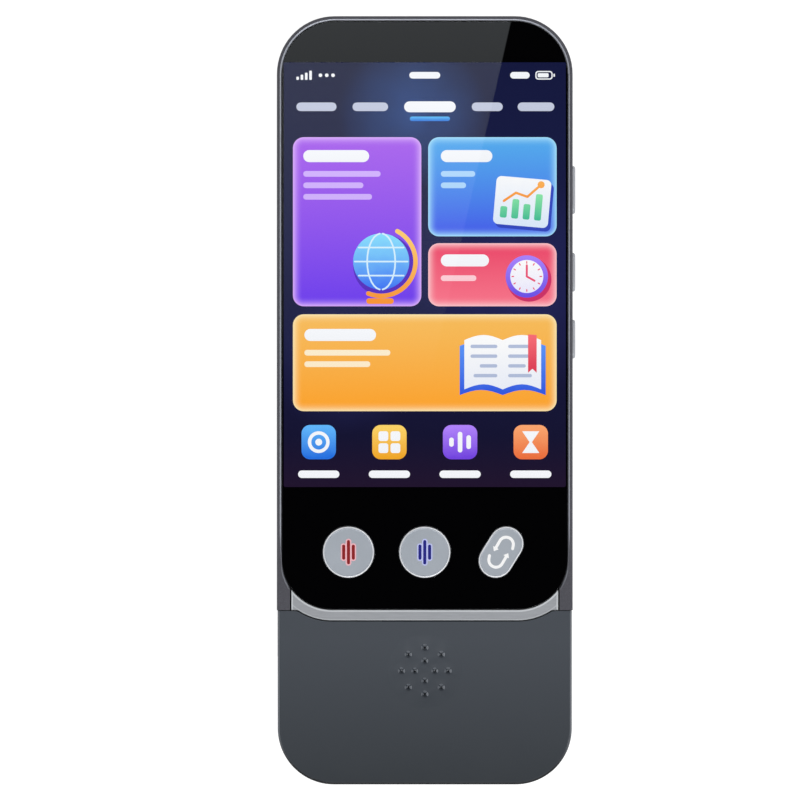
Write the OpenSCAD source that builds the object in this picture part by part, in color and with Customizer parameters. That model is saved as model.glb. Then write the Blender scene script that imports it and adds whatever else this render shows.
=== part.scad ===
// Reading pen: a flat hand-held scanner with a touch screen, three front keys,
// three side keys and a flip lid, hinged at the back, that covers the scan nose.
// The pieces are drawn standing on the lid's end: X to the right, Y to the back, Z up.
// The pen is then laid on its back: X to the right, Y towards the top end, Z out of the screen.

/* [Body] */
// Overall height, lid included
body_h = 134; // [132:1:142]
// Overall width
body_w = 51.6; // [50:0.1:56]
// Overall depth without hinge and keys
body_t = 13.5; // [13.5:0.1:15]
// Radius of the two upper corners, seen from the front
top_corner_r = 10.1; // [8:0.1:11]
// Width of the frame's two arms beside the nose
arm_w = 2.3; // [2:0.1:3]
// Rounding of the front edges
front_edge_r = 0.45; // [0.4:0.05:0.8]
// Rounding of the back edges
back_edge_r = 2.2; // [1.5:0.1:2.4]
// Depth of the front frame, from the front face to its joint with the rear housing
frame_depth = 8.25; // [8:0.05:8.5]
// Side wall of the front frame beside the display
frame_wall = 1.1; // [1:0.05:1.3]
// Wall of the rear housing
rear_wall = 1.5; // [1.3:0.1:1.8]

/* [Glass and display] */
// Width of the frame's rim around the glass
rim_w = 0.9; // [0.8:0.05:1]
// Depth of the glass below the rim
glass_inset = 0.1; // [0.05:0.05:0.2]
// Thickness of the cover glass
glass_t = 1.1; // [0.9:0.1:1.2]
// Radius of the glass's lower corners
glass_low_r = 8.7; // [7:0.1:9]
// Height of the black band below the display, where the keys sit
key_band = 21; // [20:0.5:24]
// Top of the glass to the top of the display panel
display_drop = 6.6; // [6.4:0.1:7]

/* [Lid and hinge] */
// Height of the seam between body and lid
seam_z = 30.4; // [30:0.1:31]
// Gap at the seam
seam_gap = 0.12; // [0.1:0.01:0.2]
// Wall of the lid
lid_wall = 1.4; // [1.3:0.05:1.5]
// Radius of the lid's two lower corners
lid_corner_r = 9.8; // [8:0.1:10.2]
// Width of the silver strip that shows between the glass and the lid
strip_w = 2.1; // [1.8:0.1:2.3]
// Rounding where the strip's curve runs out into the seam
mouth_r = 2; // [1:0.1:2.4]
// Height of the hinge axis
hinge_z = 22; // [21.5:0.1:22.5]
// Distance of the hinge axis behind the back face
hinge_out = 0.3; // [0.25:0.05:0.4]
// Length of the row of hinge knuckles
hinge_len = 36; // [30:1:38]
// Radius of a knuckle
knuckle_r = 1.3; // [1.2:0.05:1.4]
// Radius of the hinge pin
pin_r = 0.6; // [0.5:0.05:0.7]

/* [Keys] */
// Radius of the two round keys
key_r = 4.45; // [4:0.05:4.7]
// Distance of the outer keys from the middle one
key_pitch = 13.3; // [12.5:0.1:13.6]
// Height of the keys above the lower edge of the glass
key_rise = 10; // [9.5:0.1:10.2]
// End radius of the slanted swap key
swap_r = 2.96; // [2.6:0.02:3.1]
// Distance between the swap key's end centres
swap_len = 3.5; // [3:0.1:4]
// Slant of the swap key
swap_tilt = 58; // [50:1:66]
// Height of the front keys above the glass
key_proud = 0.3; // [0.2:0.05:0.4]
// Travel of the front keys
key_travel = 0.4; // [0.3:0.05:0.45]
// Width of a side key
side_key_w = 2.2; // [1.8:0.1:2.4]
// Height of the side keys beyond the frame
side_key_proud = 0.55; // [0.3:0.05:0.6]
// Travel of the side keys
side_key_travel = 0.35; // [0.25:0.05:0.4]

/* [Scan nose] */
// Gap between the nose and the lid's side walls
nose_gap = 2.15; // [1.5:0.05:3]
// Radius of the nose's two lower corners
nose_corner_r = 7; // [5:0.5:7.5]
// Width of the scan tip
tip_w = 24; // [22:0.5:26]
// Travel of the scan tip onto its switch
tip_travel = 0.8; // [0.5:0.1:0.9]

/* [Hidden] */
$fn = 64;
// Clearances
fit = 0.05;
slide_fit = 0.12;
swing_gap = 0.3;
over = 1;

// Main planes
half_w = body_w / 2;
front_y = -body_t / 2;
back_y = body_t / 2;
split_y = front_y + frame_depth;
rear_in_y = back_y - rear_wall;

// Glass and display planes
glass_z0 = seam_z + seam_gap;
glass_z1 = body_h - rim_w;
glass_y = front_y + glass_inset;
glass_back = glass_y + glass_t;
display_z1 = glass_z1 - display_drop;
display_z0 = glass_z0 + key_band;
display_h = display_z1 - display_z0;
display_w = 2 * (half_w - frame_wall - fit);
display_t = 1.2;
backlight_t = 0.8;
backlight_edge = 0.5;
backlight_y = glass_back + display_t;
plate_t = 0.6;
plate_y = backlight_y + backlight_t;
plate_back = plate_y + plate_t;
plate_over = 4;
plate_side = 0.5;
plate_z0 = display_z0 - plate_over;
plate_z1 = display_z1 + plate_over;
plate_w = display_w - 2 * plate_side;
panel_notch = 5;
vent_w = 16;
vent_h = 3;
vent_pitch = 11;

// Arms of the frame and the neck between them
arm_gap = 0.25;
arm_rise = 12;
arm_top = seam_z + arm_rise;
arm_in = half_w - arm_w;
neck_w = 2 * (arm_in - arm_gap);
top_wall = 1.6;

// Lid and hinge
lid_inset = 0.15;
lid_w = body_w - 2 * lid_inset;
lid_top = seam_z - seam_gap;
lid_in_w = lid_w - 2 * lid_wall;
nose_w = lid_in_w - 2 * nose_gap;
lid_in_front = front_y + lid_wall;
lid_in_back = back_y - lid_wall;
hinge_y = back_y + hinge_out;
hinge_gap = 0.1;
knuckle_gap = 0.2;
knuckles = 5;
web_step = 0.15;
knuckle_pitch = hinge_len / knuckles;
hinge_zone = hinge_len + 2 * knuckle_gap;
hinge_room = knuckle_r + knuckle_gap;
tongue_t = 3.6;
tongue_y = back_y - tongue_t;
tongue_z = hinge_z + hinge_gap;
body_pin_fit = 0.02;
lid_pin_fit = 0.06;
pad_w = 26;
pad_d = 7;
pad_t = 1.2;

// Mouth of the lid: the strip's lower curve, and the rounding that leads it into the seam
curve_r = glass_low_r + strip_w;
curve_x = half_w - rim_w - glass_low_r;
curve_z = glass_z0 + glass_low_r;
mouth_gap = 0.2;
mouth_x = curve_x + sqrt(pow(curve_r + mouth_r, 2) - pow(curve_z - lid_top + mouth_r, 2));
mouth_z = lid_top - mouth_r;
meet = curve_r / (curve_r + mouth_r);
meet_x = curve_x + meet * (mouth_x - curve_x);
meet_z = curve_z + meet * (mouth_z - curve_z);

// Grille
grille_z = 19.8;
grille_rings = [[1.74, 4], [4.05, 8]];
grille_hole_r = 0.22;
grille_cone = 0.5;
grille_dish_r = 6.5;
grille_dish_depth = 0.15;
mesh_r = 5.6;
mesh_t = 0.3;
mesh_seat = 0.5;

// Front keys, measured outwards from the face of the glass
key_z = glass_z0 + key_rise;
flange_t = 0.5;
flange_out = 0.8;
flange_top = -glass_t - fit;
stem_r = 1;
stem_len = 0.7;
stem_end = flange_top - flange_t - stem_len;
plunger_t = 0.35;
switch_t = 0.6;
switch_w = 4;
plunger_r = 1.2;
plunger_top = stem_end - key_travel - fit;
key_board_top = plunger_top - plunger_t - switch_t;
key_board_y = glass_y - key_board_top;
key_board_t = 0.8;
key_board_side = 3.2;
key_board_w = neck_w - 2 * key_board_side;
key_board_h = 12;

// Side keys: distance of the middle from the top end, length
side_key_drops = [30.2, 44.6, 56.3];
side_key_lens = [8.4, 6.8, 6.8];
side_keys = [for (i = [0 : 2]) [body_h - side_key_drops[i], side_key_lens[i]]];
side_key_y = -1;
side_key_edge = 0.4;
side_flange_out = 0.6;
wall_in = half_w - frame_wall;
side_flange_x = wall_in - 2 * fit;
side_flange_t = 0.7;
side_flange_in = side_flange_x - side_flange_t;
side_plunger_x = side_flange_in - side_key_travel - fit;
side_plunger_t = 0.25;
side_plunger_r = 0.7;
side_switch_t = 0.6;
side_switch_w = 2.4;
side_switch_h = 3.6;
side_board_t = 0.6;
side_board_x = side_plunger_x - side_plunger_t - side_switch_t - side_board_t;
side_board_low = 4.5;
side_board_high = 5;
side_board_z0 = side_keys[2][0] - side_board_low;
side_board_z1 = side_keys[0][0] + side_board_high;
side_board_d = 3;

// Nose: its lower front follows the path of the lid's front wall
nose_reach = hinge_y - lid_in_front - swing_gap;
neck_front = hinge_y - nose_reach;
neck_seat = 0.15;
neck_back = tongue_y - neck_seat;
neck_rise = 4.1;
neck_top = seam_z + neck_rise;
strip_drop = 0.3;
strip_front = front_y + strip_drop;
nose_room = 0.45;
nose_back = lid_in_back - nose_room;
nose_len = 9.7;
nose_end = hinge_z - nose_len;
shoulder_drop = 0.5;
nose_shoulder = hinge_z - shoulder_drop;
shoulder_h = 7;
nose_step = nose_shoulder + shoulder_h;

// Scan tip and what lies behind it
tip_out = 1.1;
tip_z0 = nose_end - tip_out;
tip_depth = 5.35;
tip_wall = 0.25;
tip_y0 = hinge_y - tip_depth;
tip_y1 = nose_back - tip_wall;
tip_t = tip_y1 - tip_y0;
tip_h = 3.8;
tip_top = tip_z0 + tip_h;
tip_lip = 0.8;
tip_lip_t = 0.8;
pocket_wall = 0.2;
pocket_top = nose_shoulder - pocket_wall;
tip_switch_w = 3;
tip_switch_side = 0.5;
tip_switch_x = tip_w / 2 - tip_switch_w - tip_switch_side;
tip_switch_edge = 0.2;
tip_button_h = 0.3;
tip_button_r = 0.5;
tip_switch_z = tip_top + tip_travel + fit;
camera_w = 8;
camera_rise = 1.9;
camera_room = 0.6;
camera_z = tip_top + camera_rise;
camera_z1 = pocket_top - camera_room;
lens_r = 1.2;
lens_h = 0.8;
lens_seat = 0.6;
lamp_w = 3;
lamp_x = 6.2;
lamp_edge = 0.4;
ribbon_w = 8;
ribbon_t = 0.2;
ribbon_y = -0.6;
ribbon_edge = 0.3;
ribbon_tail = 2;

// Speaker in the front of the nose
speaker_w = 15;
speaker_h = 11;
speaker_t = 3;
speaker_rise = 1;
speaker_inset = 0.95;
speaker_z = hinge_z + speaker_rise;
speaker_y = neck_front + speaker_inset;
cone_w = 7.6;
cone_len = 11.6;
cone_depth = 0.8;
cap_w = 4.2;
cap_len = 8.2;
cap_depth = 0.3;
gasket_t = 0.4;
gasket_w = 1;

// Magnets that hold the lid shut
magnet_w = 6;
magnet_h = 2.5;
magnet_t = 0.9;
magnet_x = 15;
magnet_rise = 3.2;
magnet_z = hinge_z + magnet_rise;

// Boards, battery and port
board_y = 0.4;
board_t = 1;
board_side = 5.1;
board_w = plate_w - 2 * board_side;
board_h = 38;
board_over = 0.3;
board_z1 = display_z1 + board_over;
board_z0 = board_z1 - board_h;
tab_side = 5;
tab_w = board_w - 2 * tab_side;
tab_h = 4;
can_widths = [14, 12];
can_places = [4, 22.5];
can_h = 18;
can_r = 0.8;
can_t = 1.8;
can_rise = 10;
usb_w = 8.94;
usb_d = 3.2;
usb_len = 7.4;
usb_wall = 0.3;
usb_floor = 1;
usb_tongue_w = 6.6;
usb_tongue_t = 0.7;
usb_tongue_len = 5;
usb_y = board_y - usb_d / 2;
usb_inset = 0.2;
usb_z1 = body_h - usb_inset;
mic_r = 0.45;
mic_w = 3;
mic_d = 1;
mic_h = 2;
mic_rise = 1.5;
mic_side = 0.5;
mic_x = tab_w / 2 - mic_w / 2 - mic_side;
antenna_t = 0.2;
antenna_w = 5;
antenna_leg = 20;
antenna_arm = 14;
antenna_side = 5.25;
antenna_drop = 4;
antenna_x = -half_w + rear_wall + antenna_side;
antenna_z1 = board_z1 - antenna_drop;

// Screws
screw_r = 0.8;
screw_head_r = 1.4;
screw_head_t = 0.5;
screw_fit = 0.1;
boss_r = 1.9;
case_low_side = 3.1;
case_high_side = 7.1;
case_over = 0.2;
board_post_side = 3;
board_post_rise = 4;
nose_post_side = 5.2;
nose_post_rise = 2.1;
case_low_x = plate_w / 2 - case_low_side;
case_high_x = plate_w / 2 - case_high_side;
board_post_x = board_w / 2 - board_post_side;
nose_post_x = neck_w / 2 - nose_post_side;
case_low = [for (side = [-1, 1]) [side * case_low_x, plate_z0 + boss_r]];
case_high = [for (side = [-1, 1]) [side * case_high_x, plate_z1 - boss_r + case_over]];
case_posts = concat(case_low, case_high);
board_posts = [for (side = [-1, 1]) [side * board_post_x, board_z0 + board_post_rise]];
nose_posts = [for (side = [-1, 1]) [side * nose_post_x, seam_z + nose_post_rise]];
nose_ear_t = 1.2;
case_shank = 5;
board_shank = 4;
nose_shank = 3;

// Battery between the lower bosses and the main board
battery_w = board_w;
battery_t = 6;
tape_t = 0.2;
tape_w = 8;
tape_side = 7;
tape_x = battery_w / 2 - tape_side;
tape_margin = 2;
battery_gap = 1.6;
battery_corner_r = 1.5;
battery_z = plate_z0 + 2 * boss_r + battery_gap;
battery_h = board_z0 - battery_z - battery_gap;

// Lays the standing pen on its back, with the origin in the middle of its back face
module laid() {
    rotate([-90, 0, 0]) translate([0, -back_y, -body_h / 2]) children();
}

// Outline in X and Z, drawn in the plane, with round upper and lower corners
module outline_2d(w, z0, z1, top_r, low_r) {
    translate([-w / 2, z0 + low_r]) square([w, z1 - z0 - top_r - low_r]);
    if (top_r > 0) {
        translate([-w / 2 + top_r, z0 + low_r]) square([w - 2 * top_r, z1 - z0 - low_r]);
        for (side = [-1, 1]) translate([side * (w / 2 - top_r), z1 - top_r]) circle(top_r);
    }
    if (low_r > 0) {
        translate([-w / 2 + low_r, z0]) square([w - 2 * low_r, z1 - z0 - top_r]);
        for (side = [-1, 1]) translate([side * (w / 2 - low_r), z0 + low_r]) circle(low_r);
    }
}

// Slot outline with round ends, standing upright
module slot_2d(w, h) {
    translate([-w / 2, -(h - w) / 2]) square([w, h - w]);
    for (end = [-1, 1]) translate([0, end * (h - w) / 2]) circle(w / 2);
}

// Outline of the glass, grown on all sides
module glass_2d(grow) {
    outline_2d(body_w - 2 * rim_w + 2 * grow, glass_z0 - grow, glass_z1 + grow,
               top_corner_r - rim_w + grow, glass_low_r + grow);
}

// Extrudes an outline in X and Z from one depth to another
module depth(y0, y1) {
    translate([0, y1, 0]) rotate([90, 0, 0]) linear_extrude(y1 - y0) children();
}

// Extrudes a profile in Y and Z across the width
module across(w) {
    rotate([90, 0, 90]) linear_extrude(w, center = true) children();
}

// Box between two corners
module span(low, high) {
    translate(low) cube(high - low);
}

// Section of a rounded edge: reach outwards by depth, with both corners rounded
module edge_2d(reach, y0, y1, front_r, rear_r) {
    difference() {
        translate([0, y0]) square([reach, y1 - y0]);
        if (front_r > 0) difference() {
            translate([reach - front_r, y0]) square(front_r);
            translate([reach - front_r, y0 + front_r]) circle(front_r);
        }
        if (rear_r > 0) difference() {
            translate([reach - rear_r, y1 - rear_r]) square(rear_r);
            translate([reach - rear_r, y1 - rear_r]) circle(rear_r);
        }
    }
}

// Half of a slab with a round corner at its top and edges rounded all the way round
module half_slab(w, z0, z1, corner_r, y0, y1, front_r, rear_r) {
    translate([0, 0, z0]) linear_extrude(z1 - z0 - corner_r) edge_2d(w / 2, y0, y1, front_r, rear_r);
    translate([0, 0, z1 - corner_r]) rotate([90, 0, 90]) linear_extrude(w / 2 - corner_r)
        mirror([1, -1]) edge_2d(corner_r, y0, y1, front_r, rear_r);
    translate([w / 2 - corner_r, 0, z1 - corner_r]) mirror([0, 0, 1]) rotate([-90, 0, 0])
        rotate_extrude(angle = 90) edge_2d(corner_r, y0, y1, front_r, rear_r);
}

// Slab with two round corners at the top and a straight lower edge
module slab(w, z0, z1, corner_r, y0, y1, front_r, rear_r) {
    for (side = [0, 1]) mirror([side, 0, 0]) half_slab(w, z0, z1, corner_r, y0, y1, front_r, rear_r);
}

// Row of hinge knuckles: every second one, from the given first
module knuckle_row(first) {
    for (i = [first : 2 : knuckles - 1])
        translate([-hinge_len / 2 + i * knuckle_pitch + knuckle_gap / 2, 0, 0])
            children();
}

// One knuckle with its web towards the wall above it
module knuckle() {
    long = knuckle_pitch - knuckle_gap;
    translate([0, hinge_y, hinge_z]) rotate([0, 90, 0]) cylinder(h = long, r = knuckle_r);
    translate([0, hinge_y - knuckle_r, hinge_z])
        cube([long, knuckle_r - hinge_out - web_step, hinge_room + fit]);
}

// Bore for the hinge pin
module pin_bore(extra) {
    translate([-hinge_zone / 2, hinge_y, hinge_z]) rotate([0, 90, 0])
        cylinder(h = hinge_zone, r = pin_r + extra);
}

// Places a round piece with its axis along the depth, outwards to the front
module facing(x, y, z) {
    translate([x, y, z]) rotate([90, 0, 0]) children();
}

// Screw with a flat round head; the shank runs to the back
module screw(shank) {
    cylinder(h = screw_head_t, r = screw_head_r);
    translate([0, 0, -shank]) cylinder(h = shank, r = screw_r);
}

// Outline of the three front keys, grown on all sides
module key_holes_2d(grow) {
    for (side = [-1, 0]) translate([side * key_pitch, key_z]) circle(key_r + grow);
    translate([key_pitch, key_z]) rotate(swap_tilt - 90)
        slot_2d(2 * (swap_r + grow), swap_len + 2 * (swap_r + grow));
}

module front_frame() color("dimgray") {
    difference() {
        slab(body_w, seam_z, body_h, top_corner_r, front_y, split_y, front_edge_r, 0);
        depth(front_y - over, split_y + over) {
            outline_2d(2 * wall_in, arm_top, body_h - top_wall, top_corner_r - top_wall, 0);
            translate([-arm_in, seam_z - over]) square([2 * arm_in, arm_top - seam_z + 2 * over]);
        }
        depth(front_y - over, glass_back) glass_2d(fit);
        for (key = side_keys) translate([wall_in - over, side_key_y, key[0]]) rotate([90, 0, 90])
            linear_extrude(frame_wall + 2 * over) slot_2d(side_key_w + 2 * slide_fit, key[1] + 2 * slide_fit);
        translate([0, usb_y, body_h - top_wall - over]) rotate(90) linear_extrude(top_wall + 2 * over)
            slot_2d(usb_d + 2 * slide_fit, usb_w + 2 * slide_fit);
        translate([mic_x, usb_y, body_h - top_wall - over]) cylinder(h = top_wall + 2 * over, r = mic_r);
    }
}

module rear_housing() color("dimgray") {
    difference() {
        union() {
            difference() {
                slab(body_w, tongue_z, body_h, top_corner_r, split_y, back_y, 0, back_edge_r);
                span([-body_w, split_y - over, tongue_z - over], [body_w, tongue_y, seam_z]);
                depth(split_y - over, rear_in_y) outline_2d(body_w - 2 * rear_wall, seam_z,
                    body_h - rear_wall, top_corner_r - rear_wall, 0);
                span([-hinge_zone / 2, tongue_y - over, tongue_z - over],
                     [hinge_zone / 2, back_y + over, hinge_z + hinge_room]);
            }
            knuckle_row(0) knuckle();
            for (post = case_posts) facing(post[0], rear_in_y + fit, post[1])
                cylinder(h = rear_in_y + fit - plate_back, r = boss_r);
            for (post = board_posts) facing(post[0], rear_in_y + fit, post[1])
                cylinder(h = rear_in_y + fit - board_y - board_t, r = boss_r);
            for (post = nose_posts) facing(post[0], rear_in_y + fit, post[1])
                cylinder(h = rear_in_y + fit - neck_back, r = boss_r);
        }
        pin_bore(body_pin_fit);
        for (post = concat(case_posts, board_posts, nose_posts)) facing(post[0], rear_in_y, post[1])
            cylinder(h = body_t, r = screw_r + screw_fit);
    }
}

module cover_glass() color("black") depth(glass_y, glass_back) difference() {
    glass_2d(0);
    key_holes_2d(slide_fit);
}

module display_panel() color("midnightblue") depth(glass_back, backlight_y) difference() {
    translate([-display_w / 2, display_z0]) square([display_w, display_h]);
    for (side = [-1, 1]) translate([side * display_w / 2, display_z1]) rotate(45)
        square(panel_notch, center = true);
}

module backlight() color("whitesmoke") depth(backlight_y, plate_y) difference() {
    translate([-plate_w / 2, display_z0 + backlight_edge]) square([plate_w, display_h - 2 * backlight_edge]);
    for (side = [-1, 1]) translate([side * plate_w / 2, display_z1]) rotate(45)
        square(panel_notch, center = true);
}

module mid_plate() color("silver") difference() {
    depth(plate_y, plate_back) difference() {
        outline_2d(plate_w, plate_z0, plate_z1, top_corner_r - top_wall, 1);
        for (row = [-1 : 1]) translate([0, battery_z + battery_h / 2 + row * vent_pitch])
            square([vent_w, vent_h], center = true);
    }
    for (post = case_posts) facing(post[0], plate_back + over, post[1])
        cylinder(h = plate_t + 2 * over, r = screw_r + screw_fit);
}

module main_board() color("darkgreen") difference() {
    depth(board_y, board_y + board_t) {
        translate([-board_w / 2, board_z0]) square([board_w, board_z1 - board_z0]);
        translate([-tab_w / 2, board_z1 - over]) square([tab_w, tab_h + over]);
    }
    for (post = board_posts) facing(post[0], board_y + board_t + over, post[1])
        cylinder(h = board_t + 2 * over, r = screw_r + screw_fit);
}

module shield_cans() color("silver") for (i = [0, 1])
    translate([-board_w / 2 + can_places[i] + can_widths[i] / 2, 0, board_z0 + can_rise])
        depth(board_y - can_t, board_y) outline_2d(can_widths[i], 0, can_h, can_r, can_r);

module battery() color("slategray") depth(plate_back + tape_t, plate_back + tape_t + battery_t)
    outline_2d(battery_w, battery_z, battery_z + battery_h, battery_corner_r, battery_corner_r);

module battery_tape() color("gold") depth(plate_back, plate_back + tape_t)
    for (side = [-1, 1]) translate([side * tape_x, battery_z + battery_h / 2])
        square([tape_w, battery_h - 2 * tape_margin], center = true);

module usb_port() color("silver") translate([0, usb_y, usb_z1 - usb_len]) rotate(90) {
    difference() {
        linear_extrude(usb_len) slot_2d(usb_d, usb_w);
        translate([0, 0, usb_floor]) linear_extrude(usb_len)
            slot_2d(usb_d - 2 * usb_wall, usb_w - 2 * usb_wall);
    }
    translate([-usb_tongue_t / 2, -usb_tongue_w / 2, usb_floor - fit])
        cube([usb_tongue_t, usb_tongue_w, usb_tongue_len]);
}

module microphone() color("gray") translate([mic_x, board_y, board_z1 + mic_rise])
    span([-mic_w / 2, -mic_d, 0], [mic_w / 2, 0, mic_h]);

module antenna() color("peru") depth(rear_in_y - antenna_t, rear_in_y) {
    translate([antenna_x, antenna_z1 - antenna_leg]) square([antenna_w, antenna_leg]);
    translate([antenna_x, antenna_z1 - antenna_w]) square([antenna_arm, antenna_w]);
}

module side_board() color("darkgreen")
    span([side_board_x, plate_back, side_board_z0], [side_board_x + side_board_t,
         plate_back + side_board_d, side_board_z1]);

module side_switches() color("silver") for (key = side_keys)
    translate([side_board_x + side_board_t, side_key_y, key[0]]) {
        translate([0, -side_switch_w / 2, -side_switch_h / 2])
            cube([side_switch_t, side_switch_w, side_switch_h]);
        rotate([0, 90, 0]) cylinder(h = side_switch_t + side_plunger_t, r = side_plunger_r);
    }

// Sweeps a half section round a pill: two half turns and the straight run between their centres
module pill_sweep(long) {
    for (end = [-1, 1]) translate([end * long / 2, 0, 0]) rotate(-90 * end) rotate_extrude(angle = 180)
        children();
    if (long > 0) rotate([90, 0, 90]) linear_extrude(long, center = true)
        for (side = [0, 1]) mirror([side, 0]) children();
}

// Half section of a side key: a flange behind the frame's wall and a shank with a rounded end
module side_key_2d() {
    r = side_key_w / 2;
    long = half_w + side_key_proud - side_flange_in;
    translate([0, side_flange_in]) {
        square([r + side_flange_out, side_flange_t]);
        square([r, long - side_key_edge]);
        square([r - side_key_edge, long]);
        translate([r - side_key_edge, long - side_key_edge]) circle(side_key_edge);
    }
}

module side_key(index) color("gray")
    translate([0, side_key_y, side_keys[index][0]]) rotate([90, 0, 90]) rotate(90)
        pill_sweep(side_keys[index][1] - side_key_w) side_key_2d();

module power_key() side_key(0);

module volume_up_key() side_key(1);

module volume_down_key() side_key(2);

// Half section of a front key's cap: a bevelled rim around a face that lies a little lower
module cap_2d(r) {
    rim = 0.2;
    sink = 0.06;
    polygon([[0, flange_top], [r, flange_top], [r, key_proud - rim / 2], [r - rim, key_proud],
             [r - 2 * rim, key_proud - sink], [0, key_proud - sink]]);
}

// Half section of a key's flange behind the glass
module flange_2d(r) {
    translate([0, flange_top - flange_t]) square([r + flange_out, flange_t]);
}

// Front key: cap, flange and stem; long is the distance between the end centres
module front_key(x, r, long, tilt, tint) {
    color(tint) facing(x, glass_y, key_z) rotate(tilt) {
        pill_sweep(long) {
            cap_2d(r);
            flange_2d(r);
        }
        translate([0, 0, stem_end]) cylinder(h = stem_len + fit, r = stem_r);
    }
}

module red_talk_key() front_key(-key_pitch, key_r, 0, 0, "silver");

module blue_talk_key() front_key(0, key_r, 0, 0, "silver");

module swap_key() front_key(key_pitch, swap_r, swap_len, swap_tilt, "silver");

module key_board() color("darkgreen") depth(key_board_y, key_board_y + key_board_t)
    outline_2d(key_board_w, key_z - key_board_h / 2, key_z + key_board_h / 2, 1, 1);

module key_switches() color("silver") for (side = [-1 : 1])
    facing(side * key_pitch, key_board_y, key_z) {
        translate([-switch_w / 2, -switch_w / 2, 0]) cube([switch_w, switch_w, switch_t]);
        cylinder(h = switch_t + plunger_t, r = plunger_r);
    }

// Side section of the nose below the neck, cut back to clear the lid's front wall
module nose_2d() {
    intersection() {
        translate([neck_front, nose_end]) square([nose_back - neck_front, nose_shoulder - nose_end]);
        translate([hinge_y, hinge_z]) circle(nose_reach, $fn = 128);
    }
}

// Strip of the nose that shows between the glass, the arms and the lid
module strip_2d() {
    difference() {
        intersection() {
            union() {
                glass_2d(strip_w - mouth_gap);
                translate([-neck_w / 2, seam_z]) square([neck_w, neck_top - seam_z]);
            }
            translate([-neck_w / 2, 0]) square([neck_w, neck_top]);
        }
        glass_2d(slide_fit);
    }
}

module nose_housing() color("silver") difference() {
    union() {
        depth(neck_front, neck_back) translate([-neck_w / 2, nose_step])
            square([neck_w, neck_top - nose_step]);
        depth(neck_front, neck_back) translate([-nose_w / 2, nose_shoulder - fit])
            square([nose_w, nose_step - nose_shoulder + 2 * fit]);
        depth(strip_front, neck_front + fit) strip_2d();
        intersection() {
            across(nose_w) nose_2d();
            depth(front_y, back_y) outline_2d(nose_w, nose_end, seam_z, 0, nose_corner_r);
        }
    }
    depth(tip_y0 - slide_fit, tip_y1 + slide_fit) {
        translate([-tip_w / 2 - slide_fit, nose_end - over])
            square([tip_w + 2 * slide_fit, pocket_top - nose_end + over]);
        translate([-tip_w / 2 - tip_lip - slide_fit, tip_top - tip_lip_t - fit])
            square([tip_w + 2 * (tip_lip + slide_fit), tip_lip_t + tip_travel + 3 * fit]);
    }
    span([-ribbon_w / 2 - slide_fit, ribbon_y - slide_fit, camera_z1],
         [ribbon_w / 2 + slide_fit, tip_y1, pocket_top + fit]);
    span([-ribbon_w / 2 - slide_fit, ribbon_y - slide_fit, camera_z1],
         [ribbon_w / 2 + slide_fit, ribbon_y + ribbon_t + slide_fit, neck_top + over]);
    depth(neck_front - over, speaker_y + speaker_t) translate([0, speaker_z])
        square([speaker_w + 2 * fit, speaker_h + 2 * fit], center = true);
    depth(neck_front - over, neck_front + magnet_t) for (side = [-1, 1])
        translate([side * magnet_x - magnet_w / 2, magnet_z - magnet_h / 2]) square([magnet_w, magnet_h]);
    for (post = nose_posts) facing(post[0], neck_back + over, post[1]) {
        cylinder(h = body_t, r = screw_r + screw_fit);
        translate([0, 0, over + nose_ear_t]) cylinder(h = body_t, r = screw_head_r + screw_fit);
    }
}

module scan_tip() color("lightcyan") {
    across(tip_w) translate([tip_y0, tip_z0]) {
        translate([0, tip_t / 2]) square([tip_t, tip_h - tip_t / 2]);
        translate([tip_t / 2, tip_t / 2]) circle(tip_t / 2);
    }
    span([-tip_w / 2 - tip_lip, tip_y0, tip_top - tip_lip_t], [tip_w / 2 + tip_lip, tip_y1, tip_top]);
}

module tip_switch() color("black") translate([tip_switch_x, tip_y0, tip_switch_z]) {
    span([0, tip_switch_edge, tip_button_h],
         [tip_switch_w, tip_t - tip_switch_edge, pocket_top - tip_switch_z]);
    translate([tip_switch_w / 2, tip_t / 2, 0]) cylinder(h = tip_button_h + fit, r = tip_button_r);
}

module camera_module() color("black") difference() {
    span([-camera_w / 2, tip_y0, camera_z], [camera_w / 2, tip_y1, camera_z1]);
    translate([0, tip_y0 + tip_t / 2, camera_z - over]) cylinder(h = over + lens_seat, r = lens_r + fit);
}

module camera_lens() color("lightblue") translate([0, tip_y0 + tip_t / 2, camera_z + lens_seat - lens_h])
    cylinder(h = lens_h, r = lens_r);

module scan_lamps() color("white") for (side = [-1, 1])
    translate([side * lamp_x, tip_y0, camera_z])
        span([-lamp_w / 2, lamp_edge, 0], [lamp_w / 2, tip_t - lamp_edge, pocket_top - camera_z]);

module camera_ribbon() color("orange") {
    span([-ribbon_w / 2, ribbon_y, camera_z1], [ribbon_w / 2, tip_y1 - ribbon_edge, camera_z1 + ribbon_t]);
    span([-ribbon_w / 2, ribbon_y, camera_z1], [ribbon_w / 2, ribbon_y + ribbon_t, key_z]);
    span([-ribbon_w / 2, key_board_y + key_board_t, key_z - ribbon_tail],
         [ribbon_w / 2, ribbon_y + fit, key_z]);
}

// Speaker: a case with a sunk cone and a raised cap in its middle
module speaker() color("black") translate([0, 0, speaker_z]) {
    difference() {
        depth(speaker_y, speaker_y + speaker_t) square([speaker_w, speaker_h], center = true);
        depth(speaker_y - over, speaker_y + cone_depth) rotate(90) slot_2d(cone_w, cone_len);
    }
    depth(speaker_y + cap_depth, speaker_y + cone_depth + fit) rotate(90) slot_2d(cap_w, cap_len);
}

module speaker_gasket() color("dimgray") depth(speaker_y - gasket_t, speaker_y)
    translate([0, speaker_z]) difference() {
        square([speaker_w, speaker_h], center = true);
        square([speaker_w - 2 * gasket_w, speaker_h - 2 * gasket_w], center = true);
    }

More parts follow.
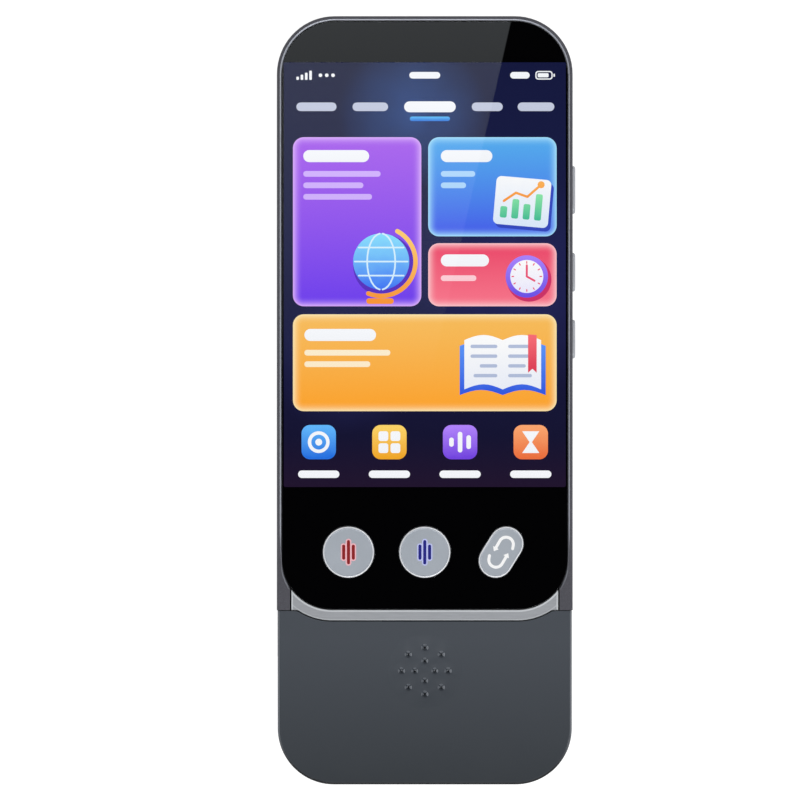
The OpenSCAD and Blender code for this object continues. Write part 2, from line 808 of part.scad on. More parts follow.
module nose_magnets() color("gainsboro") for (side = [-1, 1])
    depth(neck_front + fit, neck_front + magnet_t) translate([side * magnet_x, magnet_z])
        square([magnet_w - 2 * fit, magnet_h - 2 * fit], center = true);

// Opening in the lid's front wall: the strip's curve, led into the seam by a rounding on each side
module mouth_2d() {
    glass_2d(strip_w);
    for (side = [0, 1]) mirror([side, 0]) difference() {
        translate([meet_x, meet_z]) square([mouth_x - meet_x, lid_top + over - meet_z]);
        translate([mouth_x, mouth_z]) circle(mouth_r);
    }
}

module lid_shell() color("darkslategray") difference() {
    union() {
        difference() {
            translate([0, 0, lid_top]) mirror([0, 0, 1])
                slab(lid_w, 0, lid_top, lid_corner_r, front_y, back_y, front_edge_r, back_edge_r);
            depth(lid_in_front, lid_in_back)
                outline_2d(lid_in_w, lid_wall, seam_z + over, 0, lid_corner_r - lid_wall);
            span([-body_w, tongue_y - slide_fit, hinge_z - hinge_gap], [body_w, back_y + over, seam_z]);
            depth(front_y - over, lid_in_front + over) mouth_2d();
            span([-hinge_zone / 2, lid_in_back - over, hinge_z - hinge_room],
                 [hinge_zone / 2, back_y + over, seam_z]);
        }
        translate([0, 0, 2 * hinge_z]) mirror([0, 0, 1]) knuckle_row(1) knuckle();
    }
    pin_bore(lid_pin_fit);
    grille_holes();
    facing(0, lid_in_front + over, grille_z) cylinder(h = mesh_seat + over, r = mesh_r + fit);
    depth(lid_in_front - magnet_t, lid_in_front + over) for (side = [-1, 1])
        translate([side * magnet_x, magnet_z]) square([magnet_w, magnet_h], center = true);
}

// Two rings of sound holes through the lid, in a shallow dish
module grille_holes() {
    for (ring = grille_rings, i = [0 : ring[1] - 1]) {
        turn = i * 360 / ring[1];
        facing(ring[0] * sin(turn), lid_in_front + over, grille_z + ring[0] * cos(turn))
            cylinder(h = lid_wall + 2 * over, r = grille_hole_r);
        facing(ring[0] * sin(turn), front_y + grille_cone, grille_z + ring[0] * cos(turn))
            cylinder(h = grille_cone, r1 = grille_hole_r, r2 = grille_hole_r + grille_cone);
    }
    dish_r = (pow(grille_dish_r, 2) + pow(grille_dish_depth, 2)) / (2 * grille_dish_depth);
    translate([0, front_y - dish_r + grille_dish_depth, grille_z]) sphere(dish_r, $fn = 128);
}

module grille_mesh() color("black") facing(0, lid_in_front - mesh_seat + mesh_t, grille_z)
    cylinder(h = mesh_t, r = mesh_r);

module lid_pad() color("darkgray")
    span([-pad_w / 2, -pad_d / 2, lid_wall], [pad_w / 2, pad_d / 2, lid_wall + pad_t]);

module lid_magnets() color("gainsboro") for (side = [-1, 1])
    depth(lid_in_front - magnet_t, lid_in_front - fit) translate([side * magnet_x, magnet_z])
        square([magnet_w - 2 * fit, magnet_h - 2 * fit], center = true);

module hinge_pin() color("silver") translate([-hinge_len / 2, hinge_y, hinge_z]) rotate([0, 90, 0])
    cylinder(h = hinge_len, r = pin_r);

module case_screws() color("silver") for (post = case_posts) facing(post[0], plate_y, post[1])
    screw(case_shank);

module board_screws() color("silver") for (post = board_posts) facing(post[0], board_y, post[1])
    screw(board_shank);

module nose_screws() color("silver") for (post = nose_posts)
    facing(post[0], neck_back - nose_ear_t, post[1]) screw(nose_shank);

laid() front_frame();
laid() rear_housing();
laid() cover_glass();
laid() display_panel();
laid() backlight();
laid() mid_plate();
laid() main_board();
laid() shield_cans();
laid() battery();
laid() battery_tape();
laid() usb_port();
laid() microphone();
laid() antenna();
laid() side_board();
laid() side_switches();
laid() power_key();
laid() volume_up_key();
laid() volume_down_key();
laid() red_talk_key();
laid() blue_talk_key();
laid() swap_key();
laid() key_board();
laid() key_switches();
laid() nose_housing();
laid() scan_tip();
laid() tip_switch();
laid() camera_module();
laid() camera_lens();
laid() scan_lamps();
laid() camera_ribbon();
laid() speaker();
laid() speaker_gasket();
laid() nose_magnets();
laid() lid_shell();
laid() grille_mesh();
laid() lid_pad();
laid() lid_magnets();
laid() hinge_pin();
laid() case_screws();
laid() board_screws();
laid() nose_screws();
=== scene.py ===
"""Looks of the reading pen: materials for its solids, the lit screen, key marks, stage and camera."""
import math

import bmesh
import bpy
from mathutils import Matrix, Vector


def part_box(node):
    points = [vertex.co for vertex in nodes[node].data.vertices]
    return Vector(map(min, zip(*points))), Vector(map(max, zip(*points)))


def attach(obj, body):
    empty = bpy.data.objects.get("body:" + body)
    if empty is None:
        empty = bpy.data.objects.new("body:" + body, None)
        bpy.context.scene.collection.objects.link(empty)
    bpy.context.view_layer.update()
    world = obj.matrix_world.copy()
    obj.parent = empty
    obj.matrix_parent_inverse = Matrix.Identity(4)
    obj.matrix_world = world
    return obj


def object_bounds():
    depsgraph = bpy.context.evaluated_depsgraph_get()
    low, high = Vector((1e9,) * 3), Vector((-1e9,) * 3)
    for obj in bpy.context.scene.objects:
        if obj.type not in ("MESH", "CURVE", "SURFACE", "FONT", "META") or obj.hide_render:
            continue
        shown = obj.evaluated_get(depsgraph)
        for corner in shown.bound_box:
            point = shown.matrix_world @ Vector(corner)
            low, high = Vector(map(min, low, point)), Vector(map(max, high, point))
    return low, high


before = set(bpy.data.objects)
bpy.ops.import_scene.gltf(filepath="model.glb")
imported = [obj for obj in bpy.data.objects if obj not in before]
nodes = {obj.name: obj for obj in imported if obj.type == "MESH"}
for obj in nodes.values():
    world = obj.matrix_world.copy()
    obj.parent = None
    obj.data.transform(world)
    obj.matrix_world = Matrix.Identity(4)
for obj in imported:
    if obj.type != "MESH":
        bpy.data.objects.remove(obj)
cad_box = [list(corner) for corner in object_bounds()]

# Lengths below are in millimetres, angles in degrees and colours in 0 to 255 steps of sRGB
MM = 0.001


def node_box(name):
    """Lower and upper corner of a node's box."""
    low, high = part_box(name)
    return low / MM, high / MM


def node_middle(name):
    low, high = node_box(name)
    return (low + high) / 2


# Cover glass: its box, and the radii of its upper and lower corners
glass_low, glass_high = node_box("cover_glass")
glass_middle = (glass_low + glass_high) / 2
glass_half = (glass_high - glass_low) / 2
GLASS_TOP_R = 9.2
GLASS_LOW_R = 8.7


# Flat outlines: steps of a line's round end, the flat left on a bar's round end, and the least mitre
END_STEPS = 8
END_FLAT = 0.001
LEAST_MITRE = 0.5


def arc(cx, cy, r, start, end, steps=12):
    """Points on an arc from one angle to another, both ends included."""
    turns = [math.radians(start + (end - start) * i / steps) for i in range(steps + 1)]
    return [(cx + r * math.cos(t), cy + r * math.sin(t)) for t in turns]


def disc(cx, cy, r, steps=48):
    return arc(cx, cy, r, 0, 360 * (steps - 1) / steps, steps - 1)


def ring(cx, cy, outer, inner):
    return [disc(cx, cy, outer), disc(cx, cy, inner)]


def rounded(x0, y0, x1, y1, r, low_r=None, steps=8):
    """Box with round corners; low_r is the radius of the two lower ones."""
    low = r if low_r is None else low_r
    corners = ((x1 - r, y1 - r, r, 0), (x0 + r, y1 - r, r, 90),
               (x0 + low, y0 + low, low, 180), (x1 - low, y0 + low, low, 270))
    return [p for cx, cy, radius, start in corners for p in arc(cx, cy, radius, start, start + 90, steps)]


def pill(x0, x1, y, height):
    """Bar with round ends, in place of a line of writing."""
    return rounded(x0, y - height / 2, x1, y + height / 2, height / 2 - END_FLAT, steps=6)


def sides(points, width):
    """Points along the left and the right of a line, and the line's first and last direction."""
    path = [Vector(p) for p in points]
    ways = [(b - a).normalized() for a, b in zip(path, path[1:])]
    left, right = [], []
    for i, point in enumerate(path):
        after = ways[min(i, len(ways) - 1)]
        mean = (ways[max(i - 1, 0)] + after).normalized()
        side = Vector((-mean.y, mean.x)) * width / 2 / max(mean.dot(after), LEAST_MITRE)
        left.append(tuple(point + side))
        right.append(tuple(point - side))
    first, last = [math.degrees(math.atan2(way.y, way.x)) for way in (ways[0], ways[-1])]
    return left, right, first, last


def round_end(point, width, way):
    """Half circle at the end of a line that runs out in one direction, without its two end points."""
    return arc(*point, width / 2, way + 90, way - 90, END_STEPS)[1:-1]


def stroke(points, width):
    """Outline of a line of this width along the points, with round ends."""
    left, right, first, last = sides(points, width)
    head = round_end(points[-1], width, last)
    tail = round_end(points[0], width, first - 180)
    return left + head + right[::-1] + tail


def arrow(points, width, length, spread):
    """Outline of a line with a round end and, at its first point, an arrowhead."""
    tip = Vector(points[0])
    way = (Vector(points[1]) - tip).normalized()
    base = tip + way * length
    across = Vector((-way.y, way.x)) * spread / 2
    left, right, _, last = sides([tuple(base), *points[1:]], width)
    end = round_end(points[-1], width, last)
    return [tuple(tip), tuple(base + across), *left, *end, *right[::-1], tuple(base - across)]


def turned(points, cx, cy, angle):
    """The outline turned about a point."""
    c, s = math.cos(math.radians(angle)), math.sin(math.radians(angle))
    return [(cx + (x - cx) * c - (y - cy) * s, cy + (x - cx) * s + (y - cy) * c) for x, y in points]


# Closed pieces
def settle(bm, name, material, body):
    """Turns a bmesh into a piece that rides on a body."""
    bmesh.ops.recalc_face_normals(bm, faces=bm.faces)
    mesh = bpy.data.meshes.new(name)
    bm.to_mesh(mesh)
    bm.free()
    piece = bpy.data.objects.new(name, mesh)
    bpy.context.scene.collection.objects.link(piece)
    mesh.materials.append(material)
    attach(piece, body)


def plate(name, shapes, z0, z1, material, body="body"):
    """Closed flat piece between two heights. A shape is an outline, or an outline and its holes."""
    bm = bmesh.new()
    for shape in shapes:
        loops = shape if isinstance(shape[0], list) else [shape]
        edges = []
        for loop in loops:
            verts = [bm.verts.new((x * MM, y * MM, z0 * MM)) for x, y in loop]
            if len(loops) == 1:
                faces = [bm.faces.new(verts)]
            else:
                edges += [bm.edges.new(pair) for pair in zip(verts, verts[1:] + verts[:1])]
        if edges:
            filled = bmesh.ops.triangle_fill(bm, edges=edges, use_beauty=True)["geom"]
            faces = [item for item in filled if isinstance(item, bmesh.types.BMFace)]
        raised = bmesh.ops.extrude_face_region(bm, geom=faces)["geom"]
        top = [item for item in raised if isinstance(item, bmesh.types.BMVert)]
        bmesh.ops.translate(bm, verts=top, vec=(0, 0, (z1 - z0) * MM))
    settle(bm, name, material, body)


# Materials
def rgb(colour):
    """Linear colour of an sRGB triple."""
    parts = [c / 255 for c in colour]
    return [p / 12.92 if p <= 0.04045 else ((p + 0.055) / 1.055) ** 2.4 for p in parts] + [1]


class Nodes:
    """A node tree with a short way to add nodes to it."""

    def __init__(self, tree):
        self.tree = tree

    def set(self, node, values):
        for socket, value in values.items():
            if isinstance(value, bpy.types.NodeSocket):
                self.tree.links.new(value, node.inputs[socket])
            else:
                node.inputs[socket].default_value = value

    def add(self, kind, inputs=None, **fields):
        node = self.tree.nodes.new("ShaderNode" + kind)
        for field, value in fields.items():
            setattr(node, field, value)
        self.set(node, inputs or {})
        return node

    def math(self, operation, a, b=0.0):
        return self.add("Math", {0: a, 1: b}, operation=operation).outputs["Value"]

    def between(self, fac, low, high, start=0.0, end=1.0):
        """A number that runs from low to high while fac runs from start to end."""
        sockets = {"Value": fac, "From Min": start, "From Max": end, "To Min": low, "To Max": high}
        return self.add("MapRange", sockets).outputs["Result"]

    def seen(self):
        """1 for rays from the camera, a mirror or clear glass, and 0 for the rest."""
        path = self.add("LightPath").outputs
        mirrored = self.math("MAXIMUM", path["Is Glossy Ray"], path["Is Transmission Ray"])
        return self.math("MAXIMUM", path["Is Camera Ray"], mirrored)


class Paint(Nodes):
    """A material, with ways to place tones and grain on a piece."""

    def __init__(self, name, **sockets):
        self.material = bpy.data.materials.new(name)
        self.material.use_nodes = True
        super().__init__(self.material.node_tree)
        self.shader = self.tree.nodes["Principled BSDF"]
        self.set(self.shader, sockets)

    def place(self, scale=(1, 1, 1), offset=(0, 0, 0)):
        """Coordinates of the piece itself, in metres times scale."""
        spot = self.add("TexCoord").outputs["Object"]
        return self.add("Mapping", {"Vector": spot, "Scale": scale, "Location": offset}).outputs["Vector"]

    def along(self, axis):
        """One coordinate of the piece itself, in metres."""
        return self.add("SeparateXYZ", {"Vector": self.place()}).outputs[axis]

    def noise(self, spot, scale, detail=3):
        return self.add("TexNoise", {"Vector": spot, "Scale": scale, "Detail": detail}).outputs["Fac"]

    def reach(self, middle, half, r):
        """Millimetres past the corner centres of a rounded rectangle in X and Y: r on its outline."""
        spot = self.place((1 / MM, 1 / MM, 0), (-middle[0], -middle[1], 0))
        size = self.add("VectorMath", {0: spot}, operation="ABSOLUTE").outputs["Vector"]
        beyond = self.add("VectorMath", {0: size, 1: (half[0] - r, half[1] - r, 0)}, operation="SUBTRACT")
        kept = self.add("VectorMath", {0: beyond.outputs["Vector"], 1: (0, 0, 0)}, operation="MAXIMUM")
        return self.add("VectorMath", {0: kept.outputs["Vector"]}, operation="LENGTH").outputs["Value"]

    def ramp(self, fac, *stops):
        """Colour ramp of (place, colour) stops."""
        node = self.add("ValToRGB", {"Fac": fac})
        points = node.color_ramp.elements
        ends = [points[0], points[1]]
        for point, (place, colour) in zip(ends, (stops[0], stops[-1])):
            point.position = place
            point.color = rgb(colour)
        for place, colour in stops[1:-1]:
            points.new(place).color = rgb(colour)
        return node.outputs["Color"]

    def blend(self, fac, first, second):
        """Mixes two colours. Sockets 0, 6 and 7 of the node are the share and the colours."""
        node = self.add("Mix", data_type="RGBA")
        for socket, value in ((0, fac), (6, first), (7, second)):
            self.set(node, {socket: rgb(value) if isinstance(value, tuple) else value})
        return node.outputs[2]

    def bump(self, height, strength, depth):
        made = self.add("Bump", {"Height": height, "Strength": strength, "Distance": depth * MM})
        self.set(self.shader, {"Normal": made.outputs["Normal"]})


def varied(colour, spread):
    """The colour made a little darker and a little lighter."""
    return [tuple(max(0, min(255, c + change)) for c in colour) for change in (-spread, spread)]


# Grained surface: share of the fine grain, how much coarser its clouds are, what the noise spans,
# and how far the roughness varies
FINE_SHARE = 0.6
CLOUD_RATIO = 60
NOISE_SPAN = (0.3, 0.7)
GRAIN_SHINE = 0.05


def grained(name, colour, roughness, spread=4, grain=7000, strength=0.15, depth=0.006, stretch=(1, 1, 1),
            fade=None, trim=None, **sockets):
    """Moulded or painted surface with a fine grain.

    A fade is painted shade (dark place, light place, tone): between two places along the pen it darkens to
    that tone.
    A trim is a function that gives the share of lines on the surface, and the tone of the lines.
    """
    paint = Paint(name, **sockets)
    spot = paint.place(stretch)
    fine = paint.noise(spot, grain)
    cloud = paint.noise(spot, grain / CLOUD_RATIO, 2)
    mixed = paint.math("ADD", paint.math("MULTIPLY", fine, FINE_SHARE),
                       paint.math("MULTIPLY", cloud, 1 - FINE_SHARE))
    dark, light = varied(colour, spread)
    tone = paint.ramp(mixed, (NOISE_SPAN[0], dark), (NOISE_SPAN[1], light))
    if fade:
        low, high, deep = fade
        tone = paint.blend(paint.between(paint.along("Y"), 1, 0, low * MM, high * MM), tone, deep)
    if trim:
        tone = paint.blend(trim[0](paint), tone, trim[1])
    shine = paint.between(mixed, roughness - GRAIN_SHINE, roughness + GRAIN_SHINE, *NOISE_SPAN)
    paint.set(paint.shader, {"Base Color": tone, "Roughness": shine})
    paint.bump(fine, strength, depth)
    return paint.material


# Flaked coat: the same kinds of values, and how fine the flakes, the clouds and the bumps are
FLAKES = 9000
FLAKE_SHARE = 0.5
FLAKE_CLOUD = 90
FLAKE_SPAN = (0.2, 0.8)
FLAKE_SHINE = 0.06
FLAKE_BUMP = 6300


def flaked(name, colour, roughness, spread=7, trim=None, **sockets):
    """Painted metal look: tiny flakes of slightly different tone in a satin coat, and a trim if asked."""
    paint = Paint(name, **sockets)
    spot = paint.place()
    cell = paint.add("TexVoronoi", {"Vector": spot, "Scale": FLAKES}).outputs["Color"]
    flake = paint.add("SeparateColor", {"Color": cell}).outputs["Red"]
    cloud = paint.noise(spot, FLAKE_CLOUD, 2)
    mixed = paint.math("ADD", paint.math("MULTIPLY", flake, FLAKE_SHARE),
                       paint.math("MULTIPLY", cloud, 1 - FLAKE_SHARE))
    dark, light = varied(colour, spread)
    tone = paint.ramp(mixed, (FLAKE_SPAN[0], dark), (FLAKE_SPAN[1], light))
    if trim:
        tone = paint.blend(trim[0](paint), tone, trim[1])
    shine = paint.between(flake, roughness - FLAKE_SHINE, roughness + FLAKE_SHINE)
    paint.set(paint.shader, {"Base Color": tone, "Roughness": shine})
    paint.bump(paint.noise(spot, FLAKE_BUMP), strength=0.08, depth=0.004)
    return paint.material


# Circuit board: how fine its tracks, pads and bumps are, the width of a track, and where a pad ends
TRACKS = 420
TRACK_W = 0.06
PADS = 520
PAD_EDGE = (0.10, 0.14)
MASK_SPREAD = 5
MASK_BUMP = 4000


def circuit(name, mask, track, pad):
    """Circuit board: solder mask with a web of tracks under it and small pads."""
    paint = Paint(name, Roughness=0.42)
    spot = paint.place()
    lighter = varied(mask, MASK_SPREAD)[1]
    lanes = paint.add("TexBrick", {"Vector": spot, "Scale": TRACKS, "Mortar Size": TRACK_W,
                                   "Color1": rgb(mask), "Color2": rgb(lighter), "Mortar": rgb(track)})
    cells = paint.add("TexVoronoi", {"Vector": spot, "Scale": PADS}).outputs["Distance"]
    pads = paint.between(cells, 1, 0, *PAD_EDGE)
    paint.set(paint.shader, {"Base Color": paint.blend(pads, lanes.outputs["Color"], pad)})
    paint.bump(paint.noise(spot, MASK_BUMP), strength=0.1, depth=0.01)
    return paint.material


# Wipe marks on glass: stretched along the pen, how fine they are, and what the noise spans
WIPE_STRETCH = (1, 0.3, 1)
WIPE_SCALE = 160
WIPE_SPAN = (0.4, 0.7)


def clear(name, tint, roughness, ior=1.5, wipe=0.02, through=1.0):
    """Clear or, with nothing let through, opaque glass with very faint wipe marks in its roughness."""
    paint = Paint(name, **{"Transmission Weight": through, "IOR": ior, "Base Color": rgb(tint)})
    marks = paint.noise(paint.place(WIPE_STRETCH), WIPE_SCALE, 4)
    paint.set(paint.shader, {"Roughness": paint.between(marks, roughness, roughness + wipe, *WIPE_SPAN)})
    return paint.material


CLOTH_SPAN = (0.1, 0.8)


def woven(name, dark, light, pitch):
    """Fine wire cloth: two sets of wires that pass over and under each other."""
    paint = Paint(name, Roughness=0.4, Metallic=0.8)
    scale = 0.5 / (pitch * MM) / math.pi
    waves = []
    for axis in ("X", "Y"):
        wave = paint.add("TexWave", {"Vector": paint.place(), "Scale": scale}, bands_direction=axis)
        waves.append(wave.outputs["Fac"])
    cloth = paint.math("MULTIPLY", *waves)
    tone = paint.ramp(cloth, (CLOTH_SPAN[0], dark), (CLOTH_SPAN[1], light))
    paint.set(paint.shader, {"Base Color": tone})
    paint.bump(cloth, strength=0.5, depth=0.05)
    return paint.material


def shining(name):
    """A paint that is nearly black by itself and only gives light."""
    sockets = {"Base Color": rgb((2, 2, 4)), "Specular IOR Level": 0.0, "Emission Strength": 1.0}
    return Paint(name, **sockets)


# Lit colours: where a tint begins and ends, how far a plain one varies, and the haze in it
LIT_SPAN = (0.05, 0.95)
LIT_SPREAD = 3
HAZE = 0.1
HAZE_SCALE = 700


def lit(name, colour, tint=None):
    """Lit screen colour that runs softly to a second tint from bottom to top of the piece."""
    paint = shining(name)
    up = paint.add("SeparateXYZ", {"Vector": paint.add("TexCoord").outputs["Generated"]}).outputs["Y"]
    haze = paint.math("ADD", up, paint.between(paint.noise(paint.place(), HAZE_SCALE), -HAZE, HAZE))
    top = tint or varied(colour, LIT_SPREAD)[1]
    glow = paint.ramp(haze, (LIT_SPAN[0], colour), (LIT_SPAN[1], top))
    paint.set(paint.shader, {"Roughness": 0.6, "Emission Color": glow})
    return paint.material


# Finish of the solids: how near corners are joined, which edges are sharp, which faces are upright,
# and the rounding of edges
WELD = 0.0001
SHARP = 38
UPRIGHT = 0.5
SOFT_EDGE = 0.1
LID_EDGE = 0.08

# Lid: depth of its front edge, slopes of the holes' rims and of its rounded edge, and where its painted
# shade runs
RIM_DEEP = 0.8
# Slopes and sides of the holes' rims that get painted highlights
HOLE_SLANT = (0.4, 0.9)
HOLE_SIDE = 0.85
# Lid's rounded edge: its corner radius, the width and slopes of its painted highlight, and where that turns
# to painted shade
LID_R = 9.8
EDGE_HIGHLIGHT_W = 0.45
EDGE_HIGHLIGHT_SLOPE = (0.02, 0.97)
EDGE_HIGHLIGHT_Y = -57
EDGE_SHADE_Y = -64
# Where the lid's painted shade runs: darker towards the end away from the screen
LID_SHADE_START_Y = -42
LID_SHADE_FULL_Y = -67

# Front frame: chamfer along the glass, where its painted highlight fades to painted shade, and the line
# where the rear housing begins
RIM_NEAR = 0.12
RIM_CHAMFER = 0.33
RIM_HIGHLIGHT_Y = -22
RIM_SHADE_Y = -34
PARTING = 0.1

# Silver strip: its painted highlight lines, and the mouth of the lid as a rounded rectangle
STRIP_GAP = 0.2
STRIP_HIGHLIGHT = 0.24
LINE_SOFT = 0.06
LOWER_SHARE = 0.5
MOUTH_X = 26.8
MOUTH_Y = 38.38
MOUTH_R = 10.6

# Keys on the glass: slopes of their rims, which get a painted highlight
KEY_RIM_SLOPE = (0.5, 0.93)


def dress(material, *names, edge=0.0):
    """Gives solids a material, joins their split corners and, if asked, rounds their sharp edges."""
    for name in names:
        piece = nodes[name]
        piece.data.materials.clear()
        piece.data.materials.append(material)
        weld = piece.modifiers.new("weld", "WELD")
        weld.merge_threshold = WELD * MM
        if edge:
            rounding = piece.modifiers.new("edges", "BEVEL")
            rounding.width = edge * MM
            rounding.segments = 2
            rounding.limit_method = "ANGLE"
            rounding.angle_limit = math.radians(SHARP)
            rounding.harden_normals = True


def paint_walls(name, material):
    """Gives a second material to the faces that stand upright, and to the rounding next to them."""
    mesh = nodes[name].data
    mesh.materials.append(material)
    for face in mesh.polygons:
        if abs(face.normal.z) < UPRIGHT:
            face.material_index = 1
    nodes[name].modifiers["edges"].material = 1


def paint_slopes(name, material, flattest, steepest):
    """Gives a second material to the faces whose normals rise between two amounts."""
    mesh = nodes[name].data
    mesh.materials.append(material)
    for face in mesh.polygons:
        if flattest < face.normal.z < steepest:
            face.material_index = 1


def corner_gap(x, y, corner, r):
    """Distance of a point past an outline with straight sides and one rounded corner, in X and Y."""
    return math.hypot(max(abs(x) - corner.x + r, 0), max(y - corner.y + r, 0)) - r


def paint_lid(bright, faint, line):
    """Gives painted highlights, in materials of their own, to sides of the holes' rims and to the lid's
    rounded edge.
    """
    mesh = nodes["lid_shell"].data
    for material in (bright, faint, line):
        mesh.materials.append(material)
    low, high = node_box("lid_shell")
    middle = node_middle("grille_mesh")
    reach = node_box("grille_mesh")[1].x
    for face in mesh.polygons:
        spot, normal = face.center / MM, face.normal
        if spot.z < high.z - RIM_DEEP:
            continue
        if (spot - middle).xy.length < reach:
            side = HOLE_SIDE * normal.xy.length
            if HOLE_SLANT[0] < normal.z < HOLE_SLANT[1] and max(abs(normal.x), -normal.y) > side:
                face.material_index = 1 if normal.x < -side else 2
        elif EDGE_HIGHLIGHT_SLOPE[0] < normal.z < EDGE_HIGHLIGHT_SLOPE[1]:
            if corner_gap(spot.x, -spot.y, -low, LID_R) > -EDGE_HIGHLIGHT_W:
                face.material_index = 3


def outline_gap(point):
    """Distance of a point, in millimetres, from the outline of the glass, seen from the front."""
    spot = point / MM - glass_middle
    r = GLASS_TOP_R if spot.y > 0 else GLASS_LOW_R
    x, y = abs(spot.x) - glass_half.x + r, abs(spot.y) - glass_half.y + r
    return math.hypot(max(x, 0), max(y, 0)) + min(max(x, y), 0) - r


def strip_highlights(paint):
    """Share of the painted highlight along the strip's upper edge, its ends and, fainter, its lower edge.
    """
    past_glass = paint.reach(glass_middle, glass_half, GLASS_LOW_R)
    gap = paint.math("SUBTRACT", past_glass, GLASS_LOW_R + STRIP_GAP)
    upper = paint.between(gap, 1, 0, STRIP_HIGHLIGHT - LINE_SOFT, STRIP_HIGHLIGHT)
    across = paint.math("ABSOLUTE", paint.along("X"))
    end = node_box("nose_housing")[1].x - STRIP_HIGHLIGHT
    ends = paint.between(across, 0, 1, (end - LINE_SOFT) * MM, end * MM)
    half_line = STRIP_HIGHLIGHT / 2
    past_mouth = paint.reach((0, 0), (MOUTH_X, MOUTH_Y), MOUTH_R)
    inside = paint.math("ABSOLUTE", paint.math("SUBTRACT", past_mouth, MOUTH_R - half_line))
    lower = paint.between(inside, LOWER_SHARE, 0, half_line - LINE_SOFT, half_line)
    return paint.math("MAXIMUM", upper, paint.math("MAXIMUM", ends, lower))


def parting_line(paint):
    """Share of the dark line where the front frame meets the rear housing."""
    seam = node_box("front_frame")[0].z
    gap = paint.math("ABSOLUTE", paint.math("SUBTRACT", paint.along("Z"), seam * MM))
    return paint.between(gap, 1, 0, (PARTING - LINE_SOFT) * MM, PARTING * MM)


def chamfer_rim(material):
    """Chamfer on the front frame's edge along the glass, in a light material of its own: a painted
    highlight.
    """
    piece = nodes["front_frame"]
    top = node_box("front_frame")[1].z
    mesh = piece.data
    mesh.materials.append(material)
    group = piece.vertex_groups.new(name="rim")
    front = [v for v in mesh.vertices if v.co.z / MM > top - RIM_NEAR]
    group.add([v.index for v in front if abs(outline_gap(v.co)) < RIM_NEAR], 1.0, "REPLACE")
    cut = piece.modifiers.new("rim", "BEVEL")
    cut.width = RIM_CHAMFER * MM
    cut.segments = 1
    cut.limit_method = "VGROUP"
    cut.vertex_group = "rim"
    cut.material = 1
    cut.harden_normals = True


body_paint = flaked("body_grey", (76, 76, 83), 0.46, trim=(parting_line, (40, 41, 45)), Metallic=0.1,
                    **{"Specular IOR Level": 0.25})
# Painted highlight on the frame's chamfer, fading to painted shade towards the lid
rim_highlight_paint = grained("rim_highlight", (166, 170, 180), 0.34, spread=4, grain=9000, strength=0.06,
                    fade=(RIM_SHADE_Y, RIM_HIGHLIGHT_Y, (84, 85, 92)), Metallic=0.2)
# Lid in its own grey, with painted shade that darkens it towards the end away from the screen
lid_paint_and_shade = grained("lid_grey", (56, 62, 70), 0.62, spread=2, grain=9000, strength=0.12,
                    fade=(LID_SHADE_FULL_Y, LID_SHADE_START_Y, (27, 34, 41)), **{"Specular IOR Level": 0.4})
# Painted highlight on the lid's rounded edge, turning to painted shade at the end away from the screen
lid_edge_highlight_paint = grained("lid_edge_highlight", (112, 116, 122), 0.5, spread=2, grain=9000,
                     fade=(EDGE_SHADE_Y, EDGE_HIGHLIGHT_Y, (18, 21, 24)), **{"Specular IOR Level": 0.2})
# Painted highlights on the holes' rims: bright on one side, fainter on the others
hole_highlight_paint = grained("hole_rim_bright", (130, 135, 142), 0.4, spread=6, grain=5000)
hole_faint_highlight_paint = grained("hole_rim_faint_highlight", (94, 99, 106), 0.4, spread=6, grain=5000)
# Silver strip with a painted highlight along its edges
silver_paint_and_highlights = grained("silver", (160, 163, 168), 0.38, spread=7, grain=5000, strength=0.2,
                       stretch=(0.06, 1, 1), trim=(strip_highlights, (204, 208, 212)), Metallic=0.1)
# Painted highlight on the keys' rims
key_rim_highlight_paint = grained("key_rim_highlight", (236, 238, 242), 0.3, spread=4, grain=9000, Metallic=0.1)
key_paint = grained("key_metal", (166, 173, 182), 0.4, spread=4, grain=12000, strength=0.06, Metallic=0.1)
side_key_paint = grained("side_key_metal", (178, 181, 187), 0.38, spread=3, grain=12000, Metallic=0.1)
steel_paint = grained("steel", (176, 178, 182), 0.28, grain=3000, stretch=(0.05, 1, 1), Metallic=1.0)
copper_paint = grained("copper_film", (205, 140, 85), 0.35, spread=8, grain=2500, stretch=(1, 0.1, 1),
                       Metallic=0.9)
cell_paint = grained("cell_foil", (150, 156, 166), 0.4, spread=6, grain=900, Metallic=0.8)
black_paint = grained("black_plastic", (26, 27, 30), 0.5, spread=3)
white_paint = grained("white_plastic", (226, 228, 230), 0.45, spread=4)
foam_paint = grained("foam", (44, 44, 48), 0.9, spread=12, grain=3500, strength=0.6, depth=0.05)
magnet_paint = grained("magnet", (190, 190, 188), 0.24, spread=3, grain=9000, strength=0.02, Metallic=1.0)
film_paint = grained("film", (196, 158, 96), 0.4, spread=8, grain=1800, stretch=(1, 0.2, 1))
board_paint = circuit("board", (18, 70, 48), (30, 98, 66), (205, 180, 110))
panel_paint = grained("panel", (14, 16, 26), 0.3, spread=2)
glass_paint = clear("cover_glass", (255, 255, 255), 0.0, wipe=0.002)
edge_paint = grained("glass_edge", (4, 4, 5), 0.3, spread=1, grain=5000)
tip_paint = clear("clear", (236, 246, 250), 0.04, ior=1.49)
lens_paint = clear("lens", (206, 214, 250), 0.0, ior=1.55)
mesh_paint = woven("wire_cloth", (40, 42, 46), (150, 155, 162), pitch=0.24)

